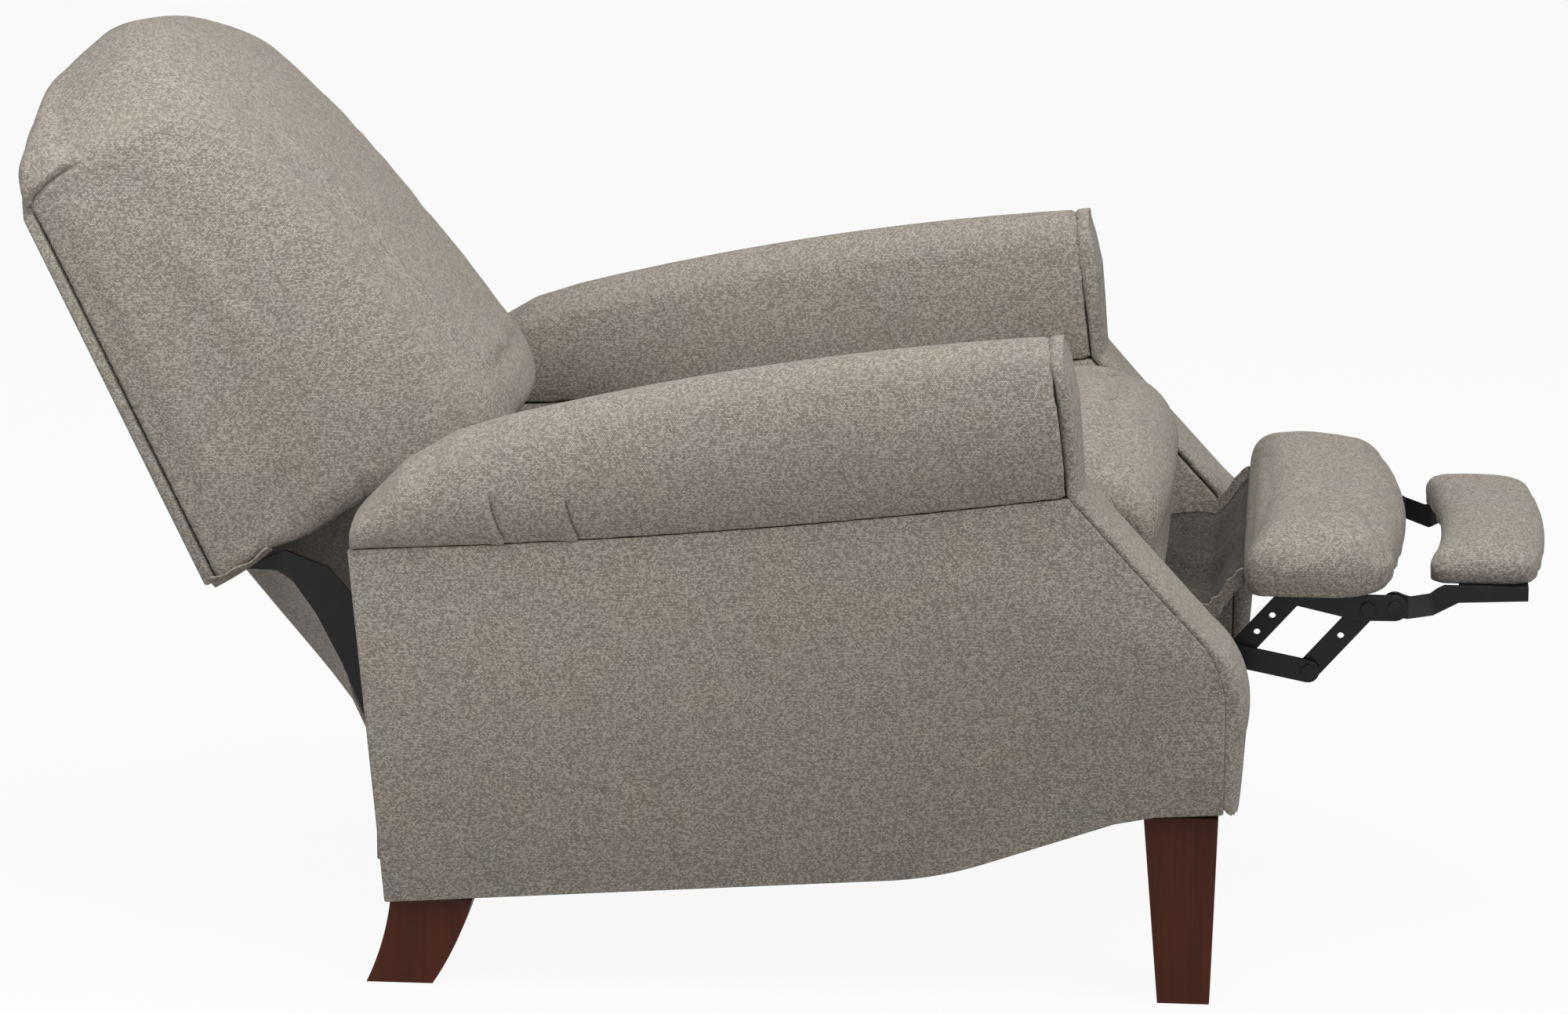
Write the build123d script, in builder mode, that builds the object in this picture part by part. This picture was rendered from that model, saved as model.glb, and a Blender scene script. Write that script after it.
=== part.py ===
from build123d import *
from math import cos, pi, radians, sin, sqrt
import os

os.makedirs("parts", exist_ok=True)

# All values are millimetres. The front of the chair is -Y, up is +Z and the floor is Z = 0.
# The sitter's right is -X. The chair is drawn fully reclined, with the footrest out.

# Widths, from the outside in
chair_width = 711.0
roll_overhang = 10.0
arm_width = 105.5
soft_gap = 0.3
outer_pad_t = 10.0
board_t = 17.5
inner_pad_t = 22.0
mount_rail_t = 24.7
plate_t = 4.0
link_t = 4.5
plate_gap = 0.5
layer_gap = 1.0
inner_gap = 4.0
cushion_gap = 5.0
seat_rail_t = 24.0

panel_x = chair_width / 2 - roll_overhang
arm_x = panel_x - arm_width
board_out = panel_x - outer_pad_t - soft_gap
board_in = board_out - board_t
inner_pad_out = arm_x + inner_pad_t
rail_out = arm_x - soft_gap
rail_in = rail_out - mount_rail_t
plate_in = rail_in - plate_t
link1_out = plate_in - plate_gap
link1_in = link1_out - link_t
link2_out = link1_in - layer_gap
link2_in = link2_out - link_t
link3_out = link2_in - inner_gap
link3_in = link3_out - link_t
seat_rail_in = link2_in - seat_rail_t
seat_half = arm_x - cushion_gap

# Pins and rivets
pin_r = 4.0
running_gap = 0.05
head_r = 7.0
head_t = 2.2
head_gap = 0.15
hole_r = pin_r + running_gap

# Arm in side view
arm_rear_y = 387.0
seam_rear_z = 437.5
seam_mid_y = 80.0
seam_mid_z = 459.0
arm_front_y = -299.0
seam_front_z = 503.5
roll_front_y = -282.0
roll_front_z = 648.0
waist_y = 368.0
waist_z = 225.0
heel_y = 357.0
heel_z = 86.0
belly_y = -136.0
belly_z = 122.0
sweep_y = -226.0
sweep_z = 142.0
rise_y = -346.0
rise_z = 184.0
toe_y = -385.0
toe_z = 192.0
nose_y = -450.0
nose_low_z = 196.0
nose_top_z = 300.0
slope_low_y = -430.0
slope_low_z = 360.0
roll_mid_y = -20.0
roll_mid_z = 616.0
roll_break_y = 259.0
roll_break_z = 555.0
roll_fall_y = 330.0
roll_fall_z = 520.0
roll_rear_z = 462.0
roll_sections = 14
facing_depth = 20.0
strip_t = 6.2
facing_low_z = 184.0
facing_top_rise = 4.0
sweep_sag = 3.0
board_gap = 6.0
board_rear = 7.0
board_front = 1.0
inner_inset = 2.0

# Legs
front_leg_top = 71.0
front_leg_foot = 50.0
front_leg_y = -409.5
front_foot_y = -414.5
front_leg_z = 190.0
leg_set_in = 10.3
foot_set_in = 4.0
rear_leg_z = 88.0
rear_leg_y = 312.5
rear_leg_depth = 80.0
rear_foot_y = 345.0
rear_foot_depth = 65.0
rear_leg_w = 48.0
rear_leg_bow = 4.0
post_half = 32.0
glide_r = 14.0
glide_t = 1.5
bolt_r = 4.0
bolt_in_leg = 45.0
bolt_in_block = 30.0
bolt_end_gap = 1.0

# Base rails
front_rail_y = -300.0
front_rail_t = 25.0
front_rail_z = 172.0
front_rail_h = 50.0
rear_rail_y = 350.0
rear_rail_t = 22.0
rear_rail_z = 95.0
rear_rail_h = 55.0
rear_panel_t = 8.0
rear_panel_top = 172.0

# Seat swing: two equal standing links, leaning back by swing_lean
swing_z = 205.0
front_swing_y = -140.0
rear_swing_y = 110.0
swing_len = 125.0
swing_lean = 18.0
swing_r = 13.0

# Footrest linkage, in the open position
long_y = -361.5
long_z = 323.5
control_dy = 28.0
control_dz = -32.0
rear_lift_dy = -95.5
rear_lift_dz = -7.5
front_lift_dy = -165.5
front_lift_dz = -21.5
lift_dy = -56.0
lift_dz = 64.0
drive_r = 20.0
link_r = 11.0
control_r = 9.5
drive_w = 16.0
slot_play = 0.7
drive_rise = 4.5
flip_dy = -26.0
flip_drop = 13.0
flip_r = 12.5
collar_r = 6.0

# Back hinge and the back's own axes: u runs up the rear face, v runs forward from it
hinge_y = 300.0
hinge_z = 140.0
hinge_r = 16.0
half_recline = 9.0
back_link_r = 62.0
back_link_rise = 2.5
back_tilt = 25.0
back_foot_y = 547.2
back_foot_z = 365.6
back_wing = 21.5
back_half = link1_out + back_wing
back_panel_t = 11.7
back_panel_inset = 3.0
back_shoulder_u = 412.0
back_pocket_u = 402.0
back_crown = 13.0
back_depth = 308.0
back_top_u = 514.0
panel_drop = 12.0
panel_top_u = 468.0
bracket_reach = 112.0
bracket_edge = 4.0
hinge_lobe = 14.0
hinge_rise = 8.0
hinge_fall = 6.0
stud_lobe = 12.0
stud_side = 4.0
back_frame_v = 50.0
stile_w = 28.0
back_rail_h = 40.0
frame_low_u = -5.0
wire_t = 3.5

# Seat
seat_front = -387.0
seat_nose = 58.0
seat_nose_drop = 66.0
seat_lip_in = 18.0
seat_rear = 245.0
seat_rear_drop = 18.0
long_clear = 32.5
seat_lip_h = 42.0
seat_rail_h = 38.0
seat_height = 149.0
seat_lip_z = long_z + long_clear
seat_bottom = seat_lip_z + seat_lip_h
seat_frame_top = seat_lip_z + seat_rail_h
seat_top = seat_lip_z + seat_height
seat_rail_t_front = 24.0
seat_frame_front = -340.0
seat_frame_rear = 224.0

# Footrest pads
pad_low = long_z + rear_lift_dz + lift_dz
pad_setback = 98.5
pad_length = 165.0
pad_rear = long_y - pad_setback
pad_front = pad_rear - pad_length
pad_bow = 30.0
pad_front_round = 58.0
pad_rear_round = 18.0
pad_board_in = 16.0
pad_board_z = pad_low + pad_board_in
pad_board_t = 12.0
pad_rim = 20.5
flange_t = 4.0
flange_w = 24.0
pad_height = 64.0
pad_levels = ((0.0, 8), (0.15, 1.5), (0.36, 0), (0.6, 2), (0.8, 9), (0.94, 22), (1.0, 48))
ext_joggle_in = 27.0
ext_bracket_x = link3_in - ext_joggle_in
ext_overlap = 5.0
ext_half = ext_bracket_x + ext_overlap
ext_gap = 10.0
ext_length = 127.0
ext_rear = pad_front - ext_gap
ext_front = ext_rear - ext_length
ext_hollow = 17.0
ext_bow = 15.0
ext_front_round = 34.0
ext_rear_round = 18.0
ext_board_t = 8.0
ext_height = 39.0
ext_levels = ((0.0, 6), (0.17, 1), (0.43, 0), (0.66, 3), (0.86, 12), (1.0, 30))
ext_joggle_run = 26.0
ext_joggle_gap = 13.0
ext_bracket_h = 14.0

cloth_t = 2.4
flap_knee_y = 430.0
flap_knee_z = 239.0
flap_edge_in = 20.0
flap_edge_up = 14.0
flap_top_v = 14.0
flap_pull_v = 36.0
flap_bow = 18.0
flap_overlap = 24.0
flap_turn = 14.0


def save(builder, name):
    """Label one sub-part and write its file."""
    builder.part.label = name
    export_step(builder.part, "parts/" + name + ".step")


def layer(side, inner, outer):
    """Y-Z sketch plane at the lower-x face of a layer between two distances from the middle."""
    return Plane.YZ.offset(inner if side > 0 else -outer)


def across(y):
    """X-Z sketch plane at one depth, facing the front."""
    return Plane(origin=(0, y, 0), x_dir=(1, 0, 0), z_dir=(0, -1, 0))


def arc_height(y, first, middle, last):
    """Height at y of the arc through three points of a side view."""
    (ay, az), (by, bz), (cy, cz) = first, middle, last
    d = 2 * (ay * (bz - cz) + by * (cz - az) + cy * (az - bz))
    a2, b2, c2 = ay * ay + az * az, by * by + bz * bz, cy * cy + cz * cz
    oy = (a2 * (bz - cz) + b2 * (cz - az) + c2 * (az - bz)) / d
    oz = (a2 * (cy - by) + b2 * (ay - cy) + c2 * (by - ay)) / d
    rise = sqrt((ay - oy) ** 2 + (az - oz) ** 2 - (y - oy) ** 2)
    return oz - rise if oz > bz else oz + rise


def seam_height(y):
    """Height of the seam under the arm roll."""
    return arc_height(y, (arm_rear_y, seam_rear_z), (seam_mid_y, seam_mid_z), (arm_front_y, seam_front_z))


def roll_height(y):
    """Height of the arm roll's top line: a long gentle arc, then a steeper one to the rear."""
    if y < roll_break_y:
        roll_front = (roll_front_y, roll_front_z)
        return arc_height(y, (roll_break_y, roll_break_z), (roll_mid_y, roll_mid_z), roll_front)
    return arc_height(y, (arm_rear_y, roll_rear_z), (roll_fall_y, roll_fall_z), (roll_break_y, roll_break_z))


def bar_face(plane, points, radius, holes=()):
    """A flat link with round ends along a bent line, with its pivot holes."""
    with BuildSketch(plane) as face:
        for (y0, z0), (y1, z1) in zip(points, points[1:]):
            run = sqrt((y1 - y0) ** 2 + (z1 - z0) ** 2)
            with BuildLine():
                start = (y0 + (z1 - z0) / run * radius, z0 - (y1 - y0) / run * radius)
                end = (y0 - (z1 - z0) / run * radius, z0 + (y1 - y0) / run * radius)
                far_end = (y1 - (z1 - z0) / run * radius, z1 + (y1 - y0) / run * radius)
                far_start = (y1 + (z1 - z0) / run * radius, z1 - (y1 - y0) / run * radius)
                Polyline(start, far_start, far_end, end, close=True)
            make_face()
        with Locations(*points):
            Circle(radius)
        if holes:
            with Locations(*holes):
                Circle(hole_r, mode=Mode.SUBTRACT)
    return face.sketch


def pins(name, spots, stack):
    """Round pins on both sides: each stack entry is a radius and its span from the middle."""
    with BuildPart() as pin_set:
        for side in (-1, 1):
            for radius, inner, outer in stack:
                with BuildSketch(layer(side, inner, outer)):
                    with Locations(*spots):
                        Circle(radius)
                extrude(amount=outer - inner)
    save(pin_set, name)


def side_outline(top_gap, inset, front_in):
    """Side view of an arm below the roll's seam; the insets draw the hidden pieces a little smaller."""
    seam_ys = (arm_rear_y - inset, seam_mid_y, arm_front_y + front_in)
    seam_pts = [(y, seam_height(y) - top_gap) for y in seam_ys]
    with BuildSketch() as outline:
        with BuildLine():
            ThreePointArc(*seam_pts)
            slope_low = (slope_low_y + front_in, slope_low_z)
            nose_top = (nose_y + front_in, nose_top_z)
            Line(seam_pts[2], slope_low)
            nose_mid = (nose_y + front_in + (slope_low_y - nose_y) / 4, (nose_top_z + slope_low_z) / 2)
            ThreePointArc(slope_low, nose_mid, nose_top)
            Polyline(nose_top, (nose_y + front_in, nose_low_z + inset), (toe_y, toe_z + inset),
                     (rise_y, rise_z + inset), (sweep_y, sweep_z + inset))
            sweep_mid = ((sweep_y + belly_y) / 2, (sweep_z + belly_z) / 2 - sweep_sag + inset)
            ThreePointArc((sweep_y, sweep_z + inset), sweep_mid, (belly_y, belly_z + inset))
            Polyline((belly_y, belly_z + inset), (heel_y - inset, heel_z + inset), (waist_y - inset, waist_z),
                     seam_pts[0])
        make_face()
    return outline.sketch_local


def on_layer(side, inner, outer, face):
    """A side-view face moved to the lower-x face of a layer."""
    return layer(side, inner, outer) * face


def roll_points(side, seam, top):
    """Seam-to-seam points over one arm roll: outer face, outer shoulder, top, inner shoulder, inner face."""
    rise = top - seam
    bulge = min(roll_overhang, 0.2 * rise)
    width = panel_x - arm_x
    return [
        (side * panel_x, seam),
        (side * (panel_x + bulge), seam + 0.42 * rise),
        (side * (panel_x - 0.04 * width), seam + 0.80 * rise),
        (side * (arm_x + 0.54 * width), top),
        (side * (arm_x + 0.13 * width), seam + 0.80 * rise),
        (side * (arm_x + 0.01 * width), seam + 0.40 * rise),
        (side * arm_x, seam),
    ]


def roll_face(plane, side, seam, top):
    """One section of the arm roll."""
    p = roll_points(side, seam, top)
    with BuildSketch(plane) as face:
        with BuildLine():
            ThreePointArc(p[0], p[1], p[2])
            ThreePointArc(p[2], p[3], p[4])
            ThreePointArc(p[4], p[5], p[6])
            Line(p[6], p[0])
        make_face()
    return face.sketch


# Upholstered arms
for side, word in ((-1, "right"), (1, "left")):
    with BuildPart() as arm_outer_panel:
        outline = side_outline(soft_gap, 0, 0)
        extrude(on_layer(side, panel_x - outer_pad_t, panel_x, outline), amount=outer_pad_t)
    save(arm_outer_panel, "arm_outer_panel_" + word)

    with BuildPart() as arm_inner_pad:
        outline = side_outline(soft_gap, inner_inset, inner_inset)
        extrude(on_layer(side, arm_x, inner_pad_out, outline), amount=inner_pad_t)
    save(arm_inner_pad, "arm_inner_pad_" + word)

    with BuildPart() as arm_rear_strip:
        with BuildSketch(layer(side, inner_pad_out + soft_gap, panel_x - outer_pad_t - soft_gap)):
            with BuildLine():
                seam_rear = seam_height(arm_rear_y) - 2 * soft_gap
                strip_foot_z = rear_leg_z + soft_gap
                Polyline((arm_rear_y, seam_rear), (waist_y, waist_z), (heel_y, strip_foot_z),
                         (heel_y - strip_t, strip_foot_z), (waist_y - strip_t, waist_z),
                         (arm_rear_y - strip_t, seam_rear), close=True)
            make_face()
        extrude(amount=panel_x - outer_pad_t - inner_pad_out - 2 * soft_gap)
    save(arm_rear_strip, "arm_rear_strip_" + word)

    front_lean = sqrt((roll_front_y - arm_front_y) ** 2 + (roll_front_z - seam_front_z) ** 2)
    lean_y = (roll_front_y - arm_front_y) / front_lean
    lean_z = (roll_front_z - seam_front_z) / front_lean
    front_plane = Plane(origin=(0, arm_front_y + soft_gap, seam_front_z), x_dir=(1, 0, 0),
                        z_dir=(0, -lean_z, lean_y))
    with BuildPart() as arm_roll:
        sections = [roll_face(front_plane, side, 0, front_lean)]
        first = roll_front_y + 2 * facing_depth
        step = (arm_rear_y - 2 - first) / (roll_sections - 1)
        for k in range(roll_sections):
            y = first + k * step
            sections.append(roll_face(across(y), side, seam_height(y), roll_height(y)))
        loft(sections, ruled=True)
    save(arm_roll, "arm_roll_" + word)

    with BuildPart() as arm_front_facing:
        width = panel_x - arm_x
        for share, depth in ((0.0, 0.45), (0.18, 0.9), (0.5, 1.0), (0.82, 0.9), (1.0, 0.45)):
            t = depth * facing_depth
            with BuildSketch(Plane.YZ.offset(side * (arm_x + share * width))):
                with BuildLine():
                    roll_top = (roll_front_y - soft_gap, roll_front_z + facing_top_rise)
                    elbow = (arm_front_y - soft_gap, seam_front_z)
                    slope_low = (slope_low_y - soft_gap, slope_low_z)
                    nose_top = (nose_y - soft_gap, nose_top_z)
                    nose_in = (slope_low_y - nose_y) / 4
                    nose_mid = (nose_y - soft_gap + nose_in, (nose_top_z + slope_low_z) / 2)
                    low = (nose_y - soft_gap, nose_low_z)
                    out_low = (nose_y - 0.7 * t, facing_low_z)
                    out_nose = (nose_y - t, nose_top_z - 30)
                    out_bend = (nose_y - 0.72 * t + 4, nose_top_z + 40)
                    out_slope = (slope_low_y - 0.39 * t, slope_low_z + 0.36 * t)
                    out_elbow = (arm_front_y - 0.6 * t, seam_front_z + 0.16 * t)
                    out_top = (roll_front_y - 0.6 * t, roll_front_z + facing_top_rise)
                    Polyline(roll_top, elbow, slope_low)
                    ThreePointArc(slope_low, nose_mid, nose_top)
                    Polyline(nose_top, low, out_low, out_nose)
                    ThreePointArc(out_nose, out_bend, out_slope)
                    Polyline(out_slope, out_elbow, out_top, roll_top)
                make_face()
        loft()
        p = roll_points(side, seam_front_z, roll_front_z)
        with BuildSketch(across(arm_front_y + facing_depth + 20)):
            with BuildLine():
                ThreePointArc(p[0], p[1], p[2])
                ThreePointArc(p[2], p[3], p[4])
                ThreePointArc(p[4], p[5], p[6])
                Polyline(p[6], (side * arm_x, 0), (side * panel_x, 0), p[0])
            make_face()
        extrude(amount=2 * abs(nose_y), mode=Mode.INTERSECT)
    save(arm_front_facing, "arm_front_facing_" + word)

# Wooden boards and posts inside the arms, with the holes for the leg bolts
front_bolt_x = panel_x - leg_set_in - front_leg_top / 2
rear_bolt_x = panel_x - leg_set_in - rear_leg_w / 2
post_in = inner_pad_out + soft_gap
with BuildPart() as arm_boards:
    for side in (-1, 1):
        outline = side_outline(board_gap, board_rear, board_front)
        extrude(on_layer(side, board_in, board_out, outline), amount=board_t)
save(arm_boards, "arm_boards")

front_post_y = nose_y + 12
mid_post_y = arm_front_y + 16
mid_post_w = 36.0
arm_rail_h = 26.0
arm_rail_drop = 18.0
with BuildPart() as arm_posts:
    for side in (-1, 1):
        with BuildSketch(layer(side, post_in, board_in)):
            with BuildLine():
                Polyline((front_post_y, front_leg_z), (front_post_y, nose_top_z - 10),
                         (toe_y + 12, nose_top_z - 10), (toe_y + 12, front_leg_z), close=True)
            make_face()
            with BuildLine():
                Polyline((mid_post_y, rise_z + 20), (mid_post_y, seam_front_z - arm_rail_drop - 40),
                         (mid_post_y + mid_post_w, seam_front_z - arm_rail_drop - 40),
                         (mid_post_y + mid_post_w, rise_z + 20), close=True)
            make_face()
            with BuildLine():
                Polyline((mid_post_y, seam_front_z - arm_rail_drop), (arm_rear_y - 17, seam_rear_z - 8),
                         (arm_rear_y - 17, seam_rear_z - 8 - arm_rail_h),
                         (mid_post_y, seam_front_z - arm_rail_drop - arm_rail_h), close=True)
            make_face()
            with BuildLine():
                Polyline((rear_leg_y - post_half, rear_leg_z), (rear_leg_y - post_half, waist_z),
                         (rear_leg_y + post_half, waist_z), (rear_leg_y + post_half, rear_leg_z), close=True)
            make_face()
        extrude(amount=board_in - post_in)
    for y, z, x in ((front_leg_y, front_leg_z, front_bolt_x), (rear_leg_y, rear_leg_z, rear_bolt_x)):
        with BuildSketch(Plane.XY.offset(z)):
            with Locations((-x, y), (x, y)):
                Circle(bolt_r + running_gap)
        extrude(amount=bolt_in_block + bolt_end_gap, mode=Mode.SUBTRACT)
save(arm_posts, "arm_posts")

# Legs, bolts and glides
front_foot_x = panel_x - leg_set_in - foot_set_in - front_leg_foot / 2
for side, word in ((-1, "right"), (1, "left")):
    with BuildPart() as front_leg:
        with BuildSketch(Plane.XY.offset(glide_t)):
            with Locations((side * front_foot_x, front_foot_y)):
                Rectangle(front_leg_foot, front_leg_foot)
        with BuildSketch(Plane.XY.offset(front_leg_z)):
            with Locations((side * front_bolt_x, front_leg_y)):
                Rectangle(front_leg_top, front_leg_top)
        loft()
        with BuildSketch(Plane.XY.offset(front_leg_z - bolt_in_leg - bolt_end_gap)):
            with Locations((side * front_bolt_x, front_leg_y)):
                Circle(bolt_r + running_gap)
        extrude(amount=bolt_in_leg + bolt_end_gap, mode=Mode.SUBTRACT)
    save(front_leg, "front_leg_" + word)

    with BuildPart() as rear_leg:
        with BuildSketch(layer(side, rear_bolt_x - rear_leg_w / 2, rear_bolt_x + rear_leg_w / 2)):
            with BuildLine():
                top_back = (rear_leg_y + rear_leg_depth / 2, rear_leg_z)
                top_front = (rear_leg_y - rear_leg_depth / 2, rear_leg_z)
                foot_back = (rear_foot_y + rear_foot_depth / 2, glide_t)
                foot_front = (rear_foot_y - rear_foot_depth / 2, glide_t)
                mid_z = (rear_leg_z + glide_t) / 2
                ThreePointArc(top_back, ((top_back[0] + foot_back[0]) / 2 - rear_leg_bow, mid_z), foot_back)
                Line(foot_back, foot_front)
                mid_front = ((top_front[0] + foot_front[0]) / 2 - rear_leg_bow, mid_z)
                ThreePointArc(foot_front, mid_front, top_front)
                Line(top_front, top_back)
            make_face()
        extrude(amount=rear_leg_w)
        with BuildSketch(Plane.XY.offset(rear_leg_z - bolt_in_leg - bolt_end_gap)):
            with Locations((side * rear_bolt_x, rear_leg_y)):
                Circle(bolt_r + running_gap)
        extrude(amount=bolt_in_leg + bolt_end_gap, mode=Mode.SUBTRACT)
    save(rear_leg, "rear_leg_" + word)

with BuildPart() as leg_bolts:
    for y, z, x in ((front_leg_y, front_leg_z, front_bolt_x), (rear_leg_y, rear_leg_z, rear_bolt_x)):
        with BuildSketch(Plane.XY.offset(z - bolt_in_leg)):
            with Locations((-x, y), (x, y)):
                Circle(bolt_r)
        extrude(amount=bolt_in_leg + bolt_in_block)
save(leg_bolts, "leg_bolts")

with BuildPart() as floor_glides:
    with BuildSketch():
        for side in (-1, 1):
            with Locations((side * front_foot_x, front_foot_y), (side * rear_bolt_x, rear_foot_y)):
                Circle(glide_r)
    extrude(amount=glide_t)
save(floor_glides, "floor_glides")

# Base rails between the arms
with BuildPart() as front_base_rail:
    with BuildSketch(Plane.YZ.offset(-rail_out)):
        with Locations((front_rail_y + front_rail_t / 2, front_rail_z + front_rail_h / 2)):
            Rectangle(front_rail_t, front_rail_h)
    extrude(amount=2 * rail_out)
save(front_base_rail, "front_base_rail")

with BuildPart() as rear_base_rail:
    with BuildSketch(Plane.YZ.offset(-rail_out)):
        with Locations((rear_rail_y + rear_rail_t / 2, rear_rail_z + rear_rail_h / 2)):
            Rectangle(rear_rail_t, rear_rail_h)
    extrude(amount=2 * rail_out)
save(rear_base_rail, "rear_base_rail")

rear_panel_y = rear_rail_y + rear_rail_t + soft_gap
with BuildPart() as rear_base_panel:
    with BuildSketch(Plane.YZ.offset(-rail_out)):
        with BuildLine():
            Polyline((rear_panel_y, rear_rail_z), (rear_panel_y, rear_panel_top),
                     (rear_panel_y + rear_panel_t, rear_panel_top), (rear_panel_y + rear_panel_t, rear_rail_z),
                     close=True)
        make_face()
    extrude(amount=2 * rail_out)
save(rear_base_panel, "rear_base_panel")

# Pivot places of the linkage
lean = radians(swing_lean)
long_pivot = (long_y, long_z)
control_pivot = (long_y + control_dy, long_z + control_dz)
rear_lift_low = (long_y + rear_lift_dy, long_z + rear_lift_dz)
front_lift_low = (long_y + front_lift_dy, long_z + front_lift_dz)
control_end = (rear_lift_low[0] + control_dy, rear_lift_low[1] + control_dz)
rear_lift_top = (rear_lift_low[0] + lift_dy, rear_lift_low[1] + lift_dz)
front_lift_top = (front_lift_low[0] + lift_dy, front_lift_low[1] + lift_dz)
flip_y = front_lift_top[0] + flip_dy
flip_z = pad_low - flip_drop
flip_pivot = (flip_y, flip_z)
ext_joggle_y = flip_y - ext_joggle_gap
front_swing = (front_swing_y, swing_z)
rear_swing = (rear_swing_y, swing_z)
front_seat_pivot = (front_swing_y + swing_len * sin(lean), swing_z + swing_len * cos(lean))
rear_seat_pivot = (rear_swing_y + swing_len * sin(lean), swing_z + swing_len * cos(lean))
drive_top = (long_y - drive_r * sqrt(0.5), long_z - drive_r * sqrt(0.5))
drive_arm = drive_r * sqrt(0.5) / sin(lean)
drive_low = (front_swing_y - drive_arm * sin(lean), swing_z - drive_arm * cos(lean))
hinge = (hinge_y, hinge_z)
back_arm = back_link_r * sin(lean) / sin(radians(half_recline))
back_link_front = (rear_swing_y + back_link_r * sin(lean), swing_z + back_link_r * cos(lean))
back_link_rear = (hinge_y + back_arm * sin(radians(half_recline)),
                  hinge_z + back_arm * cos(radians(half_recline)))

# Mounting rails, mechanism plates and their pins
rail_foot_z = heel_z + 12
rail_foot_run = 38.0
rail_low_run = 105.0
rear_bolt_dy = 80.0
front_bolt_dy = 62.0
bolt_dz = 38.0
with BuildPart() as mounting_rails:
    for side in (-1, 1):
        with BuildSketch(layer(side, rail_in, rail_out)):
            with BuildLine():
                rail_rear = rear_rail_y - running_gap
                rail_low = swing_z - 40
                rail_step = front_rail_z + front_rail_h + soft_gap
                rail_notch = front_rail_y + front_rail_t + 3
                Polyline((long_y - 30, long_z + 18), (long_y + 43, long_z + 18),
                         (front_swing_y - 60, swing_z + 45), (rear_swing_y + 40, swing_z + 45),
                         (rail_rear, hinge_z + 50), (rail_rear, rail_foot_z),
                         (hinge_y - rail_foot_run, rail_foot_z), (rear_swing_y + rail_low_run, rail_low),
                         (rail_notch, rail_low), (rail_notch, rail_step),
                         (front_rail_y - 10, rail_step), (long_y - 30, long_z - 34), close=True)
            make_face()
        extrude(amount=mount_rail_t)
save(mounting_rails, "mounting_rails")

plate_bolts_at = (((front_swing_y + rear_swing_y) / 2, swing_z),
                  (hinge_y - rear_bolt_dy, hinge_z + bolt_dz),
                  (long_y + front_bolt_dy, long_z - bolt_dz))
with BuildPart() as mechanism_plates:
    for side in (-1, 1):
        with BuildSketch(layer(side, plate_in, rail_in)):
            with BuildLine():
                Polyline((long_y - 22, long_z + 13), (long_y + 33, long_z + 15),
                         (front_swing_y - 50, swing_z + 35),
                         (rear_swing_y + 30, swing_z + 35), (hinge_y + 22, hinge_z + 30),
                         (hinge_y + 22, hinge_z - 26), (hinge_y - 25, hinge_z - 26),
                         (rear_swing_y + 10, swing_z - 27), (front_swing_y - 30, swing_z - 27),
                         (front_rail_y, front_rail_z + front_rail_h + 20),
                         (long_y + 12, long_z - 52), (long_y - 22, long_z - 20), close=True)
            make_face()
            with Locations(long_pivot, control_pivot, front_swing, rear_swing, hinge):
                Circle(hole_r, mode=Mode.SUBTRACT)
            with Locations(*plate_bolts_at):
                Circle(hole_r, mode=Mode.SUBTRACT)
        extrude(amount=plate_t)
save(mechanism_plates, "mechanism_plates")

pins("base_pivot_pins", (long_pivot, control_pivot, front_swing, rear_swing, hinge),
     ((pin_r, link1_in - head_gap, rail_in), (head_r, link1_in - head_gap - head_t, link1_in - head_gap)))
bolt_head_t = 0.35
pins("plate_bolts", plate_bolts_at, ((pin_r, plate_in, rail_in), (head_r, plate_in - bolt_head_t, plate_in)))

# Standing swing links; each carries a stud for the link that drives the footrest or the back
with BuildPart() as front_swing_links:
    for side in (-1, 1):
        extrude(bar_face(layer(side, link1_in, link1_out), (drive_low, front_swing, front_seat_pivot), swing_r,
                         (front_swing, front_seat_pivot)), amount=link_t)
        stud_in = link3_in - head_gap
        with BuildSketch(layer(side, stud_in, link1_in)):
            with Locations(drive_low):
                Circle(pin_r)
        extrude(amount=link1_in - stud_in)
        with BuildSketch(layer(side, stud_in - head_t, stud_in)):
            with Locations(drive_low):
                Circle(head_r)
        extrude(amount=head_t)
save(front_swing_links, "front_swing_links")

with BuildPart() as rear_swing_links:
    for side in (-1, 1):
        extrude(bar_face(layer(side, link1_in, link1_out), (rear_swing, rear_seat_pivot), swing_r,
                         (rear_swing, rear_seat_pivot)), amount=link_t)
        stud_in = link3_in - head_gap
        with BuildSketch(layer(side, stud_in, link1_in)):
            with Locations(back_link_front):
                Circle(pin_r)
        extrude(amount=link1_in - stud_in)
        with BuildSketch(layer(side, stud_in - head_t, stud_in)):
            with Locations(back_link_front):
                Circle(head_r)
        extrude(amount=head_t)
save(rear_swing_links, "rear_swing_links")

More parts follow.
